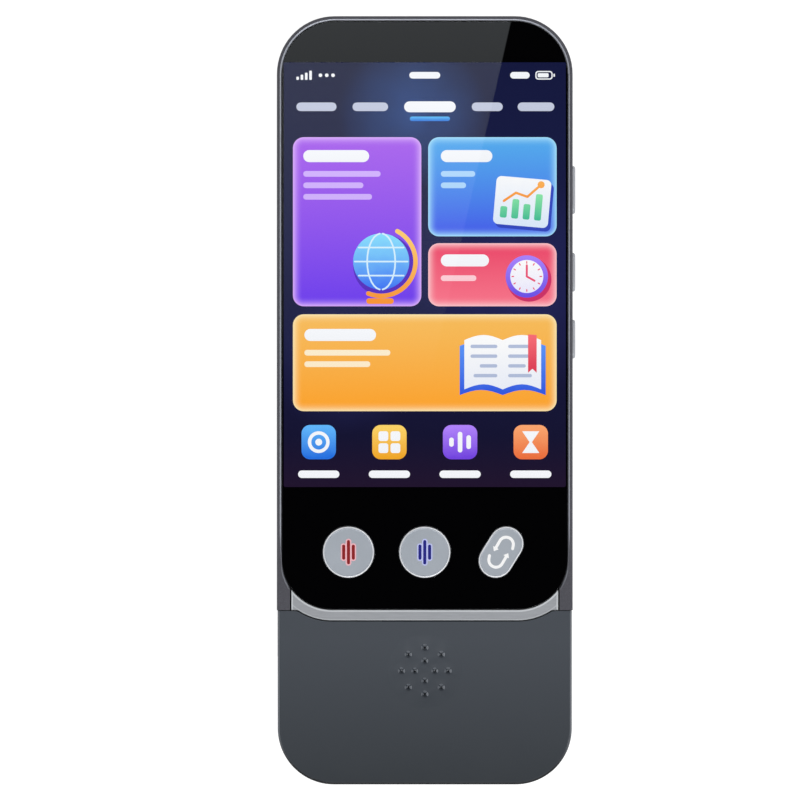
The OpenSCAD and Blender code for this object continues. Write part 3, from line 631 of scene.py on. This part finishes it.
dress(body_paint, "front_frame", "rear_housing")
chamfer_rim(rim_highlight_paint)
dress(lid_paint_and_shade, "lid_shell", edge=LID_EDGE)
paint_lid(hole_highlight_paint, hole_faint_highlight_paint, lid_edge_highlight_paint)
dress(silver_paint_and_highlights, "nose_housing")
for key in ("red_talk_key", "blue_talk_key", "swap_key"):
    dress(key_paint, key)
    paint_slopes(key, key_rim_highlight_paint, *KEY_RIM_SLOPE)
dress(side_key_paint, "power_key", "volume_up_key", "volume_down_key")
dress(glass_paint, "cover_glass", edge=SOFT_EDGE)
paint_walls("cover_glass", edge_paint)
dress(steel_paint, "hinge_pin", "case_screws", "board_screws", "nose_screws", "shield_cans", "mid_plate",
      "usb_port", "key_switches", "side_switches")
dress(board_paint, "main_board", "side_board", "key_board")
dress(cell_paint, "battery")
dress(film_paint, "battery_tape", "camera_ribbon")
dress(copper_paint, "antenna")
dress(black_paint, "camera_module", "tip_switch", "microphone", "speaker")
dress(white_paint, "backlight", "scan_lamps")
dress(tip_paint, "scan_tip", edge=SOFT_EDGE)
dress(lens_paint, "camera_lens")
dress(foam_paint, "lid_pad", "speaker_gasket")
dress(magnet_paint, "nose_magnets", "lid_magnets")
dress(mesh_paint, "grille_mesh")
dress(panel_paint, "display_panel")


# Lit screen, in thin layers at the back of the glass: pitch, thickness and start of the layers
LAYER = 0.02
LAYER_T = 0.016
LAYER_START = 0.01

# Opening of the black border over the display, and the keys' openings in it
panel_low, panel_high = node_box("display_panel")
PANEL_LOW_EDGE = 0.35
PANEL_HIGH_EDGE = 0.55
SCREEN_X = 24.6
SCREEN_LOW = panel_low.y + PANEL_LOW_EDGE
SCREEN_HIGH = panel_high.y - PANEL_HIGH_EDGE
SCREEN_R = 0.3
GROUND_LAP = 0.1
ROUND_KEYS = ("red_talk_key", "blue_talk_key")
KEY_R = 4.45
SWAP_R = 2.96
SWAP_LEN = 3.5
SWAP_TILT = 58
MASK_ROOM = 0.2
INK_INSET = 0.12
INK_FILM = 0.008


def art(name, layer, material, *shapes):
    """Screen piece in one of the layers, counted from the back of the glass."""
    low = glass_low.z + LAYER_START + layer * LAYER
    plate("screen_" + name, shapes, low, low + LAYER_T, material)


def swap_ends():
    """The two end centres of the slanted key."""
    middle = node_middle("swap_key").xy
    way = Vector((math.cos(math.radians(SWAP_TILT)), math.sin(math.radians(SWAP_TILT))))
    return [tuple(middle - way * SWAP_LEN / 2), tuple(middle + way * SWAP_LEN / 2)]


def ink_mask():
    """Black border at the back of the glass and as a glossy film on its front, open at screen and keys."""
    outline = rounded(glass_low.x + INK_INSET, glass_low.y + INK_INSET, glass_high.x - INK_INSET,
                      glass_high.y - INK_INSET, GLASS_TOP_R - INK_INSET, GLASS_LOW_R - INK_INSET, 16)
    window = rounded(-SCREEN_X, SCREEN_LOW, SCREEN_X, SCREEN_HIGH, SCREEN_R, steps=4)
    holes = [disc(*node_middle(key).xy, KEY_R + MASK_ROOM, 64) for key in ROUND_KEYS]
    holes.append(stroke(swap_ends(), 2 * (SWAP_R + MASK_ROOM)))
    ink = grained("ink", (3, 3, 4), 0.55, spread=1, **{"Specular IOR Level": 0.0})
    film = clear("ink_film", (3, 3, 4), 0.0, wipe=0.002, through=0.0)
    art("ink_mask", 1, ink, [outline, window, *holes])
    plate("screen_ink_film", [[outline, window, *holes]], glass_high.z, glass_high.z + INK_FILM, film)


# Ground of the screen: its tones from bottom to top, and clouds of light with their places and reach
NIGHT = ((0.0, (34, 22, 46)), (0.12, (22, 21, 50)), (0.55, (27, 30, 70)), (1.0, (22, 26, 62)))
CLOUDS = ((-2, 50, 13, (58, 92, 158)), (14, 20, 20, (44, 46, 104)), (-14, 8, 14, (40, 44, 96)))
CLOUD_SHARE = 0.75
WISP_SCALE = 120
WISP_SHARE = (0.6, 1.1)


def night_paint():
    """Deep blue ground with soft clouds of light."""
    paint = shining("screen_night")
    spot = paint.place()
    rise = paint.between(paint.along("Y"), 0, 1, SCREEN_LOW * MM, SCREEN_HIGH * MM)
    ground = paint.ramp(rise, *NIGHT)
    for x, y, reach, colour in CLOUDS:
        centre = (x * MM, y * MM, glass_low.z * MM)
        far = paint.add("VectorMath", {0: spot, 1: centre}, operation="DISTANCE").outputs["Value"]
        wisp = paint.between(paint.noise(spot, WISP_SCALE), *WISP_SHARE, *NOISE_SPAN)
        glow = paint.math("MULTIPLY", paint.between(far, CLOUD_SHARE, 0, 0, reach * MM), wisp)
        ground = paint.blend(glow, ground, colour)
    paint.set(paint.shader, {"Emission Color": ground})
    return paint.material


def ground():
    """Lit ground, a little wider than the opening in the black border."""
    x, low, high = SCREEN_X + GROUND_LAP, SCREEN_LOW - GROUND_LAP, SCREEN_HIGH + GROUND_LAP
    art("ground", 0, night_paint(), rounded(-x, low, x, high, SCREEN_R))


# Cards: their corners and glow, the half width of all of them, the gap between two, and their rows
CARD_R = 1.9
CARD_GLOW = 2.6
CARD_X = 23.0
GUTTER = 0.6
ROW_TOP = 45.9
ROW_MID = 28.0
ROW_LOW = 16.4
WIDE_TOP = 15.0
WIDE_LOW = -1.9


def card(name, x0, y0, x1, y1, top, low, rim):
    """Rounded card whose colour runs from top to bottom and lights up along its edge."""
    paint = shining("screen_" + name)
    middle = ((x0 + x1) / 2, (y0 + y1) / 2)
    half = ((x1 - x0) / 2, (y1 - y0) / 2)
    rise = paint.between(paint.along("Y"), 0, 1, y0 * MM, y1 * MM)
    fill = paint.ramp(rise, (LIT_SPAN[0], low), (LIT_SPAN[1], top))
    near = paint.between(paint.reach(middle, half, CARD_R), 0, 1, 0, CARD_R)
    glow = paint.math("POWER", near, CARD_GLOW)
    paint.set(paint.shader, {"Emission Color": paint.blend(glow, fill, rim)})
    art(name, 2, paint.material, rounded(x0, y0, x1, y1, CARD_R))


ink_mask()
ground()
card("card_violet", -CARD_X, ROW_LOW, -GUTTER, ROW_TOP,
     (168, 96, 238), (112, 62, 238), (222, 176, 255))
card("card_blue", GUTTER, ROW_MID + GUTTER, CARD_X, ROW_TOP,
     (86, 172, 240), (72, 98, 236), (168, 226, 255))
card("card_pink", GUTTER, ROW_LOW, CARD_X, ROW_MID - GUTTER,
     (238, 74, 108), (250, 118, 140), (255, 200, 206))
card("card_amber", -CARD_X, WIDE_LOW, CARD_X, WIDE_TOP,
     (250, 190, 92), (255, 166, 48), (255, 232, 178))

white_lit = lit("screen_white", (246, 248, 252))
soft_lit = lit("screen_soft", (196, 202, 222))

# Rows above the cards, with the ends of their bars, and the bars on the cards
STATUS_Y = 56.7
STATUS_BARS = ((-2.7, 2.7), (14.9, 18.3))
STATUS_BAR = 1.15
TAB_Y = 51.2
TABS = ((-22.4, -15.4), (-12.6, -6.4), (8.2, 13.6), (16.2, 22.6))
TAB_CHOSEN = (-3.6, 5.4)
TAB_MARK = (-2.6, 4.4)
TITLE_HIGH = 2.1
LINE_DROP = 3.1
LINE_PITCH = 2.0
LINE_HIGH = 1.0


def signal_steps(x, y):
    """Four upright bars, each taller than the one before."""
    width, pitch, drop, first, rise, r = 0.45, 0.75, 0.8, 0.55, 0.35, 0.1
    low = y - drop
    spans = [(x + i * pitch, low + first + i * rise) for i in range(4)]
    return [rounded(left, low, left + width, top, r, steps=2) for left, top in spans]


def battery_sign(x, y):
    """Outline of a battery, its filling and its knob."""
    long, half, r, wall, hole_r = 3.0, 0.75, 0.5, 0.2, 0.34
    fill_start, fill_end, fill_half, fill_r = 0.4, 2.3, 0.36, 0.2
    knob_start, knob_end, knob_high = 3.15, 3.4, 0.5
    hole = rounded(x + wall, y - half + wall, x + long - wall, y + half - wall, hole_r)
    fill = rounded(x + fill_start, y - fill_half, x + fill_end, y + fill_half, fill_r)
    knob = pill(x + knob_start, x + knob_end, y, knob_high)
    return [[rounded(x, y - half, x + long, y + half, r), hole], fill, knob]


def status_row(y):
    """Signal steps and dots, a bar in the middle, a short bar and a battery."""
    steps_x, dots_x, dot_pitch, dot_r, battery_x = -22.4, -18.2, 1.1, 0.32, 19.3
    dots = [disc(dots_x + i * dot_pitch, y, dot_r, 16) for i in range(3)]
    bars = [pill(*ends, y, STATUS_BAR) for ends in STATUS_BARS]
    art("status", 2, white_lit, *signal_steps(steps_x, y), *dots, *bars, *battery_sign(battery_x, y))


def tab_row(y):
    """Row of headings, the third one chosen and underlined."""
    high, chosen_high, mark_high, mark_drop = 1.5, 1.9, 0.8, 2.1
    art("tabs", 2, soft_lit, *[pill(*ends, y, high) for ends in TABS])
    mark_lit = lit("screen_mark", (52, 120, 220), (96, 190, 250))
    art("tab_mark", 2, mark_lit, pill(*TAB_MARK, y - mark_drop, mark_high))
    art("tab_chosen", 3, white_lit, pill(*TAB_CHOSEN, y, chosen_high))


def lines(name, x, y, title, rest, tint):
    """A heading bar with thinner, fainter bars below it."""
    art(name + "_title", 3, white_lit, pill(x, x + title, y, TITLE_HIGH))
    first = y - LINE_DROP
    rows = [pill(x, x + length, first - i * LINE_PITCH, LINE_HIGH) for i, length in enumerate(rest)]
    art(name + "_lines", 3, lit("screen_" + name + "_lines", tint), *rows)


status_row(STATUS_Y)
tab_row(TAB_Y)
lines("violet", x=-21.2, y=42.6, title=11.5, rest=(13.5, 10.5, 12.0), tint=(208, 176, 252))
lines("blue", x=2.8, y=42.6, title=9.0, rest=(6.0, 4.4), tint=(176, 216, 252))
lines("pink", x=2.8, y=24.4, title=8.4, rest=(6.2,), tint=(255, 206, 214))
lines("amber", x=-21.0, y=11.4, title=12.5, rest=(15.0, 11.5), tint=(255, 238, 206))


def globe(cx, cy, r):
    """Globe on a stand, with its net of meridians."""
    shade_x, shade_y, shade_grow = 0.5, -0.7, 0.5
    stand_gap, stand_w, stand_from, stand_to = 1.1, 0.8, -112, 62
    foot_left, foot_right, foot_drop, foot_high = 2.6, 2.2, 2.0, 1.0
    net_w, bows = 0.28, (-0.5, 0.5)
    turns = [math.radians(angle) for angle in range(-84, 85, 12)]
    levels = ((0.0, 0.94), (0.5, 0.8), (-0.5, 0.8))
    shade = disc(cx + shade_x, cy + shade_y, r + shade_grow)
    art("globe_shade", 3, lit("screen_globe_shade", (86, 44, 190)), shade)
    stand = stroke(arc(cx, cy, r + stand_gap, stand_from, stand_to, 24), stand_w)
    foot = pill(cx - foot_left, cx + foot_right, cy - r - foot_drop, foot_high)
    art("globe_stand", 4, lit("screen_stand", (250, 150, 50), (255, 206, 110)), stand, foot)
    art("globe_sea", 4, lit("screen_sea", (64, 120, 246), (136, 222, 255)), disc(cx, cy, r))
    net = [[(cx + bow * r * math.cos(t), cy + r * math.sin(t)) for t in turns] for bow in bows]
    net += [[(cx - reach * r, cy + lift * r), (cx + reach * r, cy + lift * r)] for lift, reach in levels]
    art("globe_net", 5, lit("screen_net", (214, 240, 255)), *[stroke(path, net_w) for path in net])


def chart(cx, cy, w, h):
    """Small chart on a white sheet."""
    tilt, sheet_r, shade_x, shade_y = -5, 0.9, 0.5, -0.6
    bar_left, bar_low, bar_pitch, bar_w, bar_r = -3.7, -3.0, 2.0, 1.2, 0.3
    bar_highs = (2.0, 3.4, 2.7, 4.6)
    curve, curve_w, dot_r = ((-3.2, 0.2), (-1.1, 1.6), (0.9, 0.9), (3.3, 3.0)), 0.42, 0.62

    def sheet(dx, dy):
        x, y = cx + dx, cy + dy
        return turned(rounded(x - w / 2, y - h / 2, x + w / 2, y + h / 2, sheet_r), cx, cy, tilt)

    art("chart_shade", 3, lit("screen_chart_shade", (54, 74, 190)), sheet(shade_x, shade_y))
    art("chart_sheet", 4, lit("screen_sheet", (220, 234, 252), (252, 253, 255)), sheet(0, 0))
    bars = []
    for i, high in enumerate(bar_highs):
        left, low = cx + bar_left + i * bar_pitch, cy + bar_low
        bars.append(turned(rounded(left, low, left + bar_w, low + high, bar_r, steps=3), cx, cy, tilt))
    art("chart_bars", 5, lit("screen_bars", (70, 190, 150), (140, 232, 170)), *bars)
    path = [(cx + x, cy + y) for x, y in curve]
    art("chart_line", 6, lit("screen_line", (250, 150, 60), (255, 180, 90)), stroke(path, curve_w),
        disc(*path[-1], dot_r, 24))


def clock(cx, cy, r):
    """Round clock with hands and hour ticks."""
    shade_x, shade_y, shade_grow, face = 0.4, -0.5, 0.2, 0.78
    tick_ends, tick_w = (0.62, 0.7), 0.2
    hands, hand_w = ((0, 0.52), (0, 0), (0.36, -0.2)), 0.36
    shade = disc(cx + shade_x, cy + shade_y, r + shade_grow)
    art("clock_shade", 3, lit("screen_clock_shade", (206, 52, 104)), shade)
    art("clock_case", 4, lit("screen_case", (110, 84, 232), (168, 132, 255)), disc(cx, cy, r))
    art("clock_face", 5, lit("screen_face", (238, 236, 255), (255, 255, 255)), disc(cx, cy, r * face))
    hours = [math.radians(30 * i) for i in range(12)]
    ticks = [[(cx + r * k * math.cos(a), cy + r * k * math.sin(a)) for k in tick_ends] for a in hours]
    shapes = [stroke(tick, tick_w) for tick in ticks]
    shapes.append(stroke([(cx + r * x, cy + r * y) for x, y in hands], hand_w))
    art("clock_hands", 6, lit("screen_hands", (236, 84, 118)), *shapes)


def book(cx, cy, w, h):
    """Open book with lines on its pages and a ribbon."""
    bow, bow_steps, cover_grow, cover_drop = 0.9, 8, 0.8, 1.0
    row_start, row_ends, row_drop, row_pitch, row_high = 0.07, (0.42, 0.42, 0.3, 0.38), 1.1, 1.7, 0.6
    ribbon_x, ribbon_w, ribbon_rise, ribbon_low, ribbon_notch = 0.33, 1.5, (1.0, 0.9), -1.4, -0.7

    def page(side, grow, drop):
        reach, top = w / 2 + grow, cy + h / 2 - drop
        shares = [i / bow_steps for i in range(bow_steps + 1)]
        upper = [(cx + side * reach * share, top + bow * math.sin(math.pi * share)) for share in shares]
        return upper + [(x, y - h) for x, y in upper[::-1]]

    covers = [page(side, cover_grow, cover_drop) for side in (-1, 1)]
    art("book_cover", 3, lit("screen_cover", (54, 92, 226), (92, 150, 250)), *covers)
    pages = [page(side, 0, 0) for side in (-1, 1)]
    art("book_pages", 4, lit("screen_pages", (236, 240, 250), (255, 255, 255)), *pages)
    rows = []
    for side in (-1, 1):
        for i, end in enumerate(row_ends):
            ends = sorted((cx + side * w * row_start, cx + side * w * end))
            rows.append(pill(*ends, cy + h / 2 - row_drop - i * row_pitch, row_high))
    art("book_lines", 5, lit("screen_book_lines", (178, 190, 218)), *rows)
    left, top, low = cx + w * ribbon_x, cy + h / 2, cy + ribbon_low
    right = left + ribbon_w
    ribbon = [(left, top + ribbon_rise[0]), (right, top + ribbon_rise[1]), (right, low),
              ((left + right) / 2, cy + ribbon_notch), (left, low)]
    art("book_ribbon", 6, lit("screen_ribbon", (222, 60, 84), (250, 110, 120)), ribbon)


# Tiles: their two tints, the place of the first one and the pitch, their half size and corners
TILES = (((38, 112, 226), (98, 184, 255)), ((244, 168, 40), (255, 214, 104)),
         ((116, 70, 226), (178, 132, 255)), ((238, 112, 62), (255, 168, 112)))
TILE_X = -18.5
TILE_PITCH = 12.33
TILE_HALF = 3.0
TILE_R = 1.5


def target(x, y):
    """Ring with a dot in it."""
    outer, inner, dot = 1.9, 1.3, 0.6
    return [ring(x, y, outer, inner), disc(x, y, dot, 24)]


def squares(x, y):
    """Four small squares."""
    off, half, r = 1.05, 0.85, 0.4
    middles = [(x + dx, y + dy) for dx in (-off, off) for dy in (-off, off)]
    return [rounded(mx - half, my - half, mx + half, my + half, r, steps=4) for mx, my in middles]


def upright_bars(x, y):
    """Three upright bars of different heights."""
    pitch, width, halves = 1.5, 0.8, (0.8, 1.8, 1.2)
    bars = [pill(-half, half, 0, width) for half in halves]
    return [[(x + (i - 1) * pitch + py, y + px) for px, py in bar] for i, bar in enumerate(bars)]


def hourglass(x, y):
    """Two triangles, one on the tip of the other."""
    half, high, neck = 1.5, 1.9, 0.2
    return [[(x - half, y + high), (x + half, y + high), (x + neck, y),
             (x + half, y - high), (x - half, y - high), (x - neck, y)]]


def icon_row(y, label_y):
    """Four tiles with plain figures and a bar below each."""
    label_half, label_high = 3.6, 1.3
    places = [TILE_X + i * TILE_PITCH for i in range(4)]
    for i, (x, tints) in enumerate(zip(places, TILES)):
        tile = rounded(x - TILE_HALF, y - TILE_HALF, x + TILE_HALF, y + TILE_HALF, TILE_R)
        art("tile_%d" % i, 3, lit("screen_tile_%d" % i, *tints), tile)
    drawings = zip((target, squares, upright_bars, hourglass), places)
    art("tile_figures", 4, white_lit, *[shape for draw, x in drawings for shape in draw(x, y)])
    labels = [pill(x - label_half, x + label_half, label_y, label_high) for x in places]
    art("tile_labels", 2, white_lit, *labels)


globe(cx=-7.6, cy=24.2, r=4.9)
chart(cx=17.0, cy=34.6, w=9.6, h=8.4)
clock(cx=17.8, cy=21.6, r=3.7)
book(cx=13.6, cy=6.2, w=13.4, h=8.6)
icon_row(y=-7.3, label_y=-12.9)


# Marks on the keys: thickness of print, its root in the key, and sizes of bars, halo and arrows
MARK_T = 0.03
MARK_ROOT = 0.02
KEY_SINK = 0.06
BAR_PITCH = 0.84
BAR_W = 0.54
HALO_R = 0.5
SIDE_BAR = 2.1
MID_BAR = 3.7
ARROW_TIP = (-1.26, 0.16)
ARROW_BEND = (0.885, 1.365)
ARROW_R = 1.255
ARROW_START = 150
ARROW_TURN = -8
ARROW_END = (2.02, 0.6)
ARROW_W = 0.52
HEAD_LONG = 0.75
HEAD_WIDE = 1.15


def key_face(key):
    """Height of a key's sunk face."""
    return node_box(key)[1].z - KEY_SINK


def mark(name, key, shapes, height, tint):
    """Thin print on a key's face."""
    z = key_face(key)
    ink = grained(name, tint, 0.5, spread=3, grain=9000, **{"Specular IOR Level": 0.3})
    plate(name, shapes, z - MARK_ROOT, z + height, ink, key)


def halo_outline(x, y):
    """One outline round three upright pills that overlap, the middle one taller."""
    lean = math.degrees(math.acos((HALO_R - BAR_PITCH) / HALO_R))
    side, mid = SIDE_BAR / 2, MID_BAR / 2
    right = arc(x + BAR_PITCH, y - side, HALO_R, -lean, 0) + arc(x + BAR_PITCH, y + side, HALO_R, 0, lean)
    left = (arc(x - BAR_PITCH, y + side, HALO_R, 180 - lean, 180)
            + arc(x - BAR_PITCH, y - side, HALO_R, 180, 180 + lean))
    return right + arc(x, y + mid, HALO_R, 0, 180) + left + arc(x, y - mid, HALO_R, 180, 360)


def talk_marks(key, tint, pale):
    """Three bars, as of a sound, on a pale ground that follows them."""
    x, y, _ = node_middle(key)
    bars = [[(x + dx, y - long / 2), (x + dx, y + long / 2)]
            for dx, long in ((-BAR_PITCH, SIDE_BAR), (0, MID_BAR), (BAR_PITCH, SIDE_BAR))]
    mark(key + "_halo", key, [halo_outline(x, y)], MARK_T / 2, pale)
    mark(key + "_bars", key, [stroke(bar, BAR_W) for bar in bars], MARK_T, tint)


def swap_marks():
    """Two bent arrows that follow each other round the slanted key."""
    middle = node_middle("swap_key").xy
    path = [ARROW_TIP, *arc(*ARROW_BEND, ARROW_R, ARROW_START, ARROW_TURN, 14), ARROW_END]
    outline = arrow(path, ARROW_W, HEAD_LONG, HEAD_WIDE)
    shapes = [[tuple(middle + Vector(p)) for p in turned(outline, 0, 0, turn)] for turn in (0, 180)]
    mark("swap_key_arrows", "swap_key", shapes, MARK_T, (255, 255, 255))


talk_marks("red_talk_key", (136, 2, 10), (244, 186, 194))
talk_marks("blue_talk_key", (8, 14, 124), (192, 198, 244))
swap_marks()


# Contacts on the charging port's tongue, with their start and end behind the port's mouth
CONTACTS = 9
CONTACT_PITCH = 0.5
CONTACT_HALF = 0.14
CONTACT_R = 0.06
CONTACT_T = 0.02
CONTACT_LIFT = 0.36
CONTACT_START = 4.6
CONTACT_END = 2.2


def port_contacts():
    """Row of gilt contacts, set back from the port's mouth."""
    middle = node_middle("usb_port")
    mouth = node_box("usb_port")[1].y
    gold = grained("contact_gold", (214, 176, 92), 0.25, grain=5000, Metallic=1.0)
    first = middle.x - CONTACT_PITCH * (CONTACTS - 1) / 2
    places = [first + i * CONTACT_PITCH for i in range(CONTACTS)]
    low, high = mouth - CONTACT_START, mouth - CONTACT_END
    shapes = [rounded(x - CONTACT_HALF, low, x + CONTACT_HALF, high, CONTACT_R, steps=2) for x in places]
    top = middle.z + CONTACT_LIFT
    plate("port_contacts", shapes, top - CONTACT_T, top, gold, "body")


port_contacts()

# Stage: floor, soft lamps, a dark card with a lit part for the glass to mirror, and the camera.
# PICTURE is the width that the picture shows, and AIM its middle
LENS = 400
SENSOR = 36
PICTURE = 139.47
AIM_X = -4.32
AIM_Y = 0.05
distance = PICTURE * LENS / SENSOR
VIEW_END = 100000
SKY_LIGHT = 0.5
FLOOR_HALF = 3000
FLOOR_DROP = 0.4
FLOOR_GLOW = 0.88
MIRROR_HEIGHT = 1900
MIRROR_MARGIN = 300
SHEEN_TINT = (0.96, 1.03, 1.08, 1)
SHEEN_LEFT_X = -27
SHEEN_EDGE_X = 15.2
SHEEN_EDGE_Y = 67.0
SHEEN_SLANT = 0.2256
SHEEN_END_Y = 3.0
SHEEN_SOFT = 0.1


def world_light():
    """White to camera, mirror and glass rays, and a softer white as light."""
    world = bpy.data.worlds.new("studio")
    bpy.context.scene.world = world
    world.use_nodes = True
    sky = Nodes(world.node_tree)
    level = sky.between(sky.seen(), SKY_LIGHT, 1.0)
    sky.set(sky.tree.nodes["Background"], {"Color": (1, 1, 1, 1), "Strength": level})


def sheet_piece(name, corners, material):
    """One flat face with four corners."""
    mesh = bpy.data.meshes.new(name)
    mesh.from_pydata([Vector(corner) * MM for corner in corners], [], [(0, 1, 2, 3)])
    mesh.materials.append(material)
    piece = bpy.data.objects.new(name, mesh)
    bpy.context.scene.collection.objects.link(piece)
    return piece


def floor():
    """Pale floor, low enough for the lid to swing right back, that keeps the pen's soft shadow."""
    paint = Paint("floor_white", Roughness=0.9)
    paint.set(paint.shader, {"Base Color": rgb((232, 232, 232)), "Specular IOR Level": 0.0})
    seen = paint.seen()
    glow = paint.add("Emission", {"Strength": paint.math("MULTIPLY", seen, FLOOR_GLOW)})
    plain = paint.add("BsdfDiffuse", {"Color": rgb((160, 160, 160))})
    both = paint.add("AddShader", {0: glow.outputs[0], 1: plain.outputs[0]})
    mix = paint.add("MixShader", {0: seen, 1: paint.shader.outputs[0], 2: both.outputs[0]})
    paint.set(paint.tree.nodes["Material Output"], {"Surface": mix.outputs[0]})
    swung = 2 * node_middle("hinge_pin").z - node_box("lid_shell")[1].z
    low = swung - FLOOR_DROP
    corners = [(x * FLOOR_HALF, y * FLOOR_HALF, low) for x, y in ((-1, -1), (1, -1), (1, 1), (-1, 1))]
    piece = sheet_piece("floor", corners, paint.material)


def lamp(name, place, size, watts):
    """Soft square lamp that points at the pen."""
    data = bpy.data.lights.new(name, "AREA")
    data.size = size * MM
    data.energy = watts
    piece = bpy.data.objects.new(name, data)
    piece.location = Vector(place) * MM
    piece.rotation_euler = (-Vector(place)).to_track_quat("-Z", "Y").to_euler()
    bpy.context.scene.collection.objects.link(piece)


def sheen(paint):
    """Share of light on the mirror card: a slanted part that fades out towards the lid."""
    across, up = paint.along("X"), paint.along("Y")
    soft = SHEEN_SOFT * MM
    left, top, end = SHEEN_LEFT_X * MM, SHEEN_EDGE_Y * MM, SHEEN_END_Y * MM
    slant = paint.math("SUBTRACT", across, paint.math("MULTIPLY", up, SHEEN_SLANT))
    edge = (SHEEN_EDGE_X - SHEEN_SLANT * SHEEN_EDGE_Y) * MM
    side = paint.between(slant, 1, 0, edge - soft, edge + soft)
    fade = paint.between(up, 0, 1, end, top)
    inner = paint.between(across, 0, 1, left - soft, left)
    below = paint.between(up, 1, 0, top, top + soft)
    share = paint.math("MULTIPLY", side, fade)
    return paint.math("MULTIPLY", share, paint.math("MULTIPLY", inner, below))


def mirror_card():
    """Dark card above the camera, lit in one slanted part, as the glass mirrors it in the photograph."""
    paint = Paint("card_dark", Roughness=0.9)
    paint.set(paint.shader, {"Base Color": rgb((4, 4, 4)), "Specular IOR Level": 0.0,
                             "Emission Color": SHEEN_TINT, "Emission Strength": sheen(paint)})
    low, high = Vector(cad_box[0]) / MM, Vector(cad_box[1]) / MM
    left, right = low.x - MIRROR_MARGIN, high.x + MIRROR_MARGIN
    near, far = low.y - MIRROR_MARGIN, high.y + MIRROR_MARGIN
    corners = [(left, far, 0), (right, far, 0), (right, near, 0), (left, near, 0)]
    piece = sheet_piece("mirror_card", corners, paint.material)
    scale = 1 + MIRROR_HEIGHT / distance
    piece.scale = (scale, scale, 1)
    piece.location = (AIM_X * (1 - scale) * MM, AIM_Y * (1 - scale) * MM, MIRROR_HEIGHT * MM)


def camera():
    """Long lens right above the pen."""
    data = bpy.data.cameras.new("camera")
    data.lens = LENS
    data.sensor_width = SENSOR
    data.clip_end = VIEW_END * MM
    piece = bpy.data.objects.new("camera", data)
    piece.location = (AIM_X * MM, AIM_Y * MM, cad_box[1][2] + distance * MM)
    bpy.context.scene.collection.objects.link(piece)
    bpy.context.scene.camera = piece


world_light()
floor()
lamp("key_lamp", place=(150, -720, 1150), size=700, watts=9)
lamp("fill_lamp", place=(600, 600, 1100), size=900, watts=3)
mirror_card()
camera()
bpy.context.scene.view_settings.view_transform = "Standard"
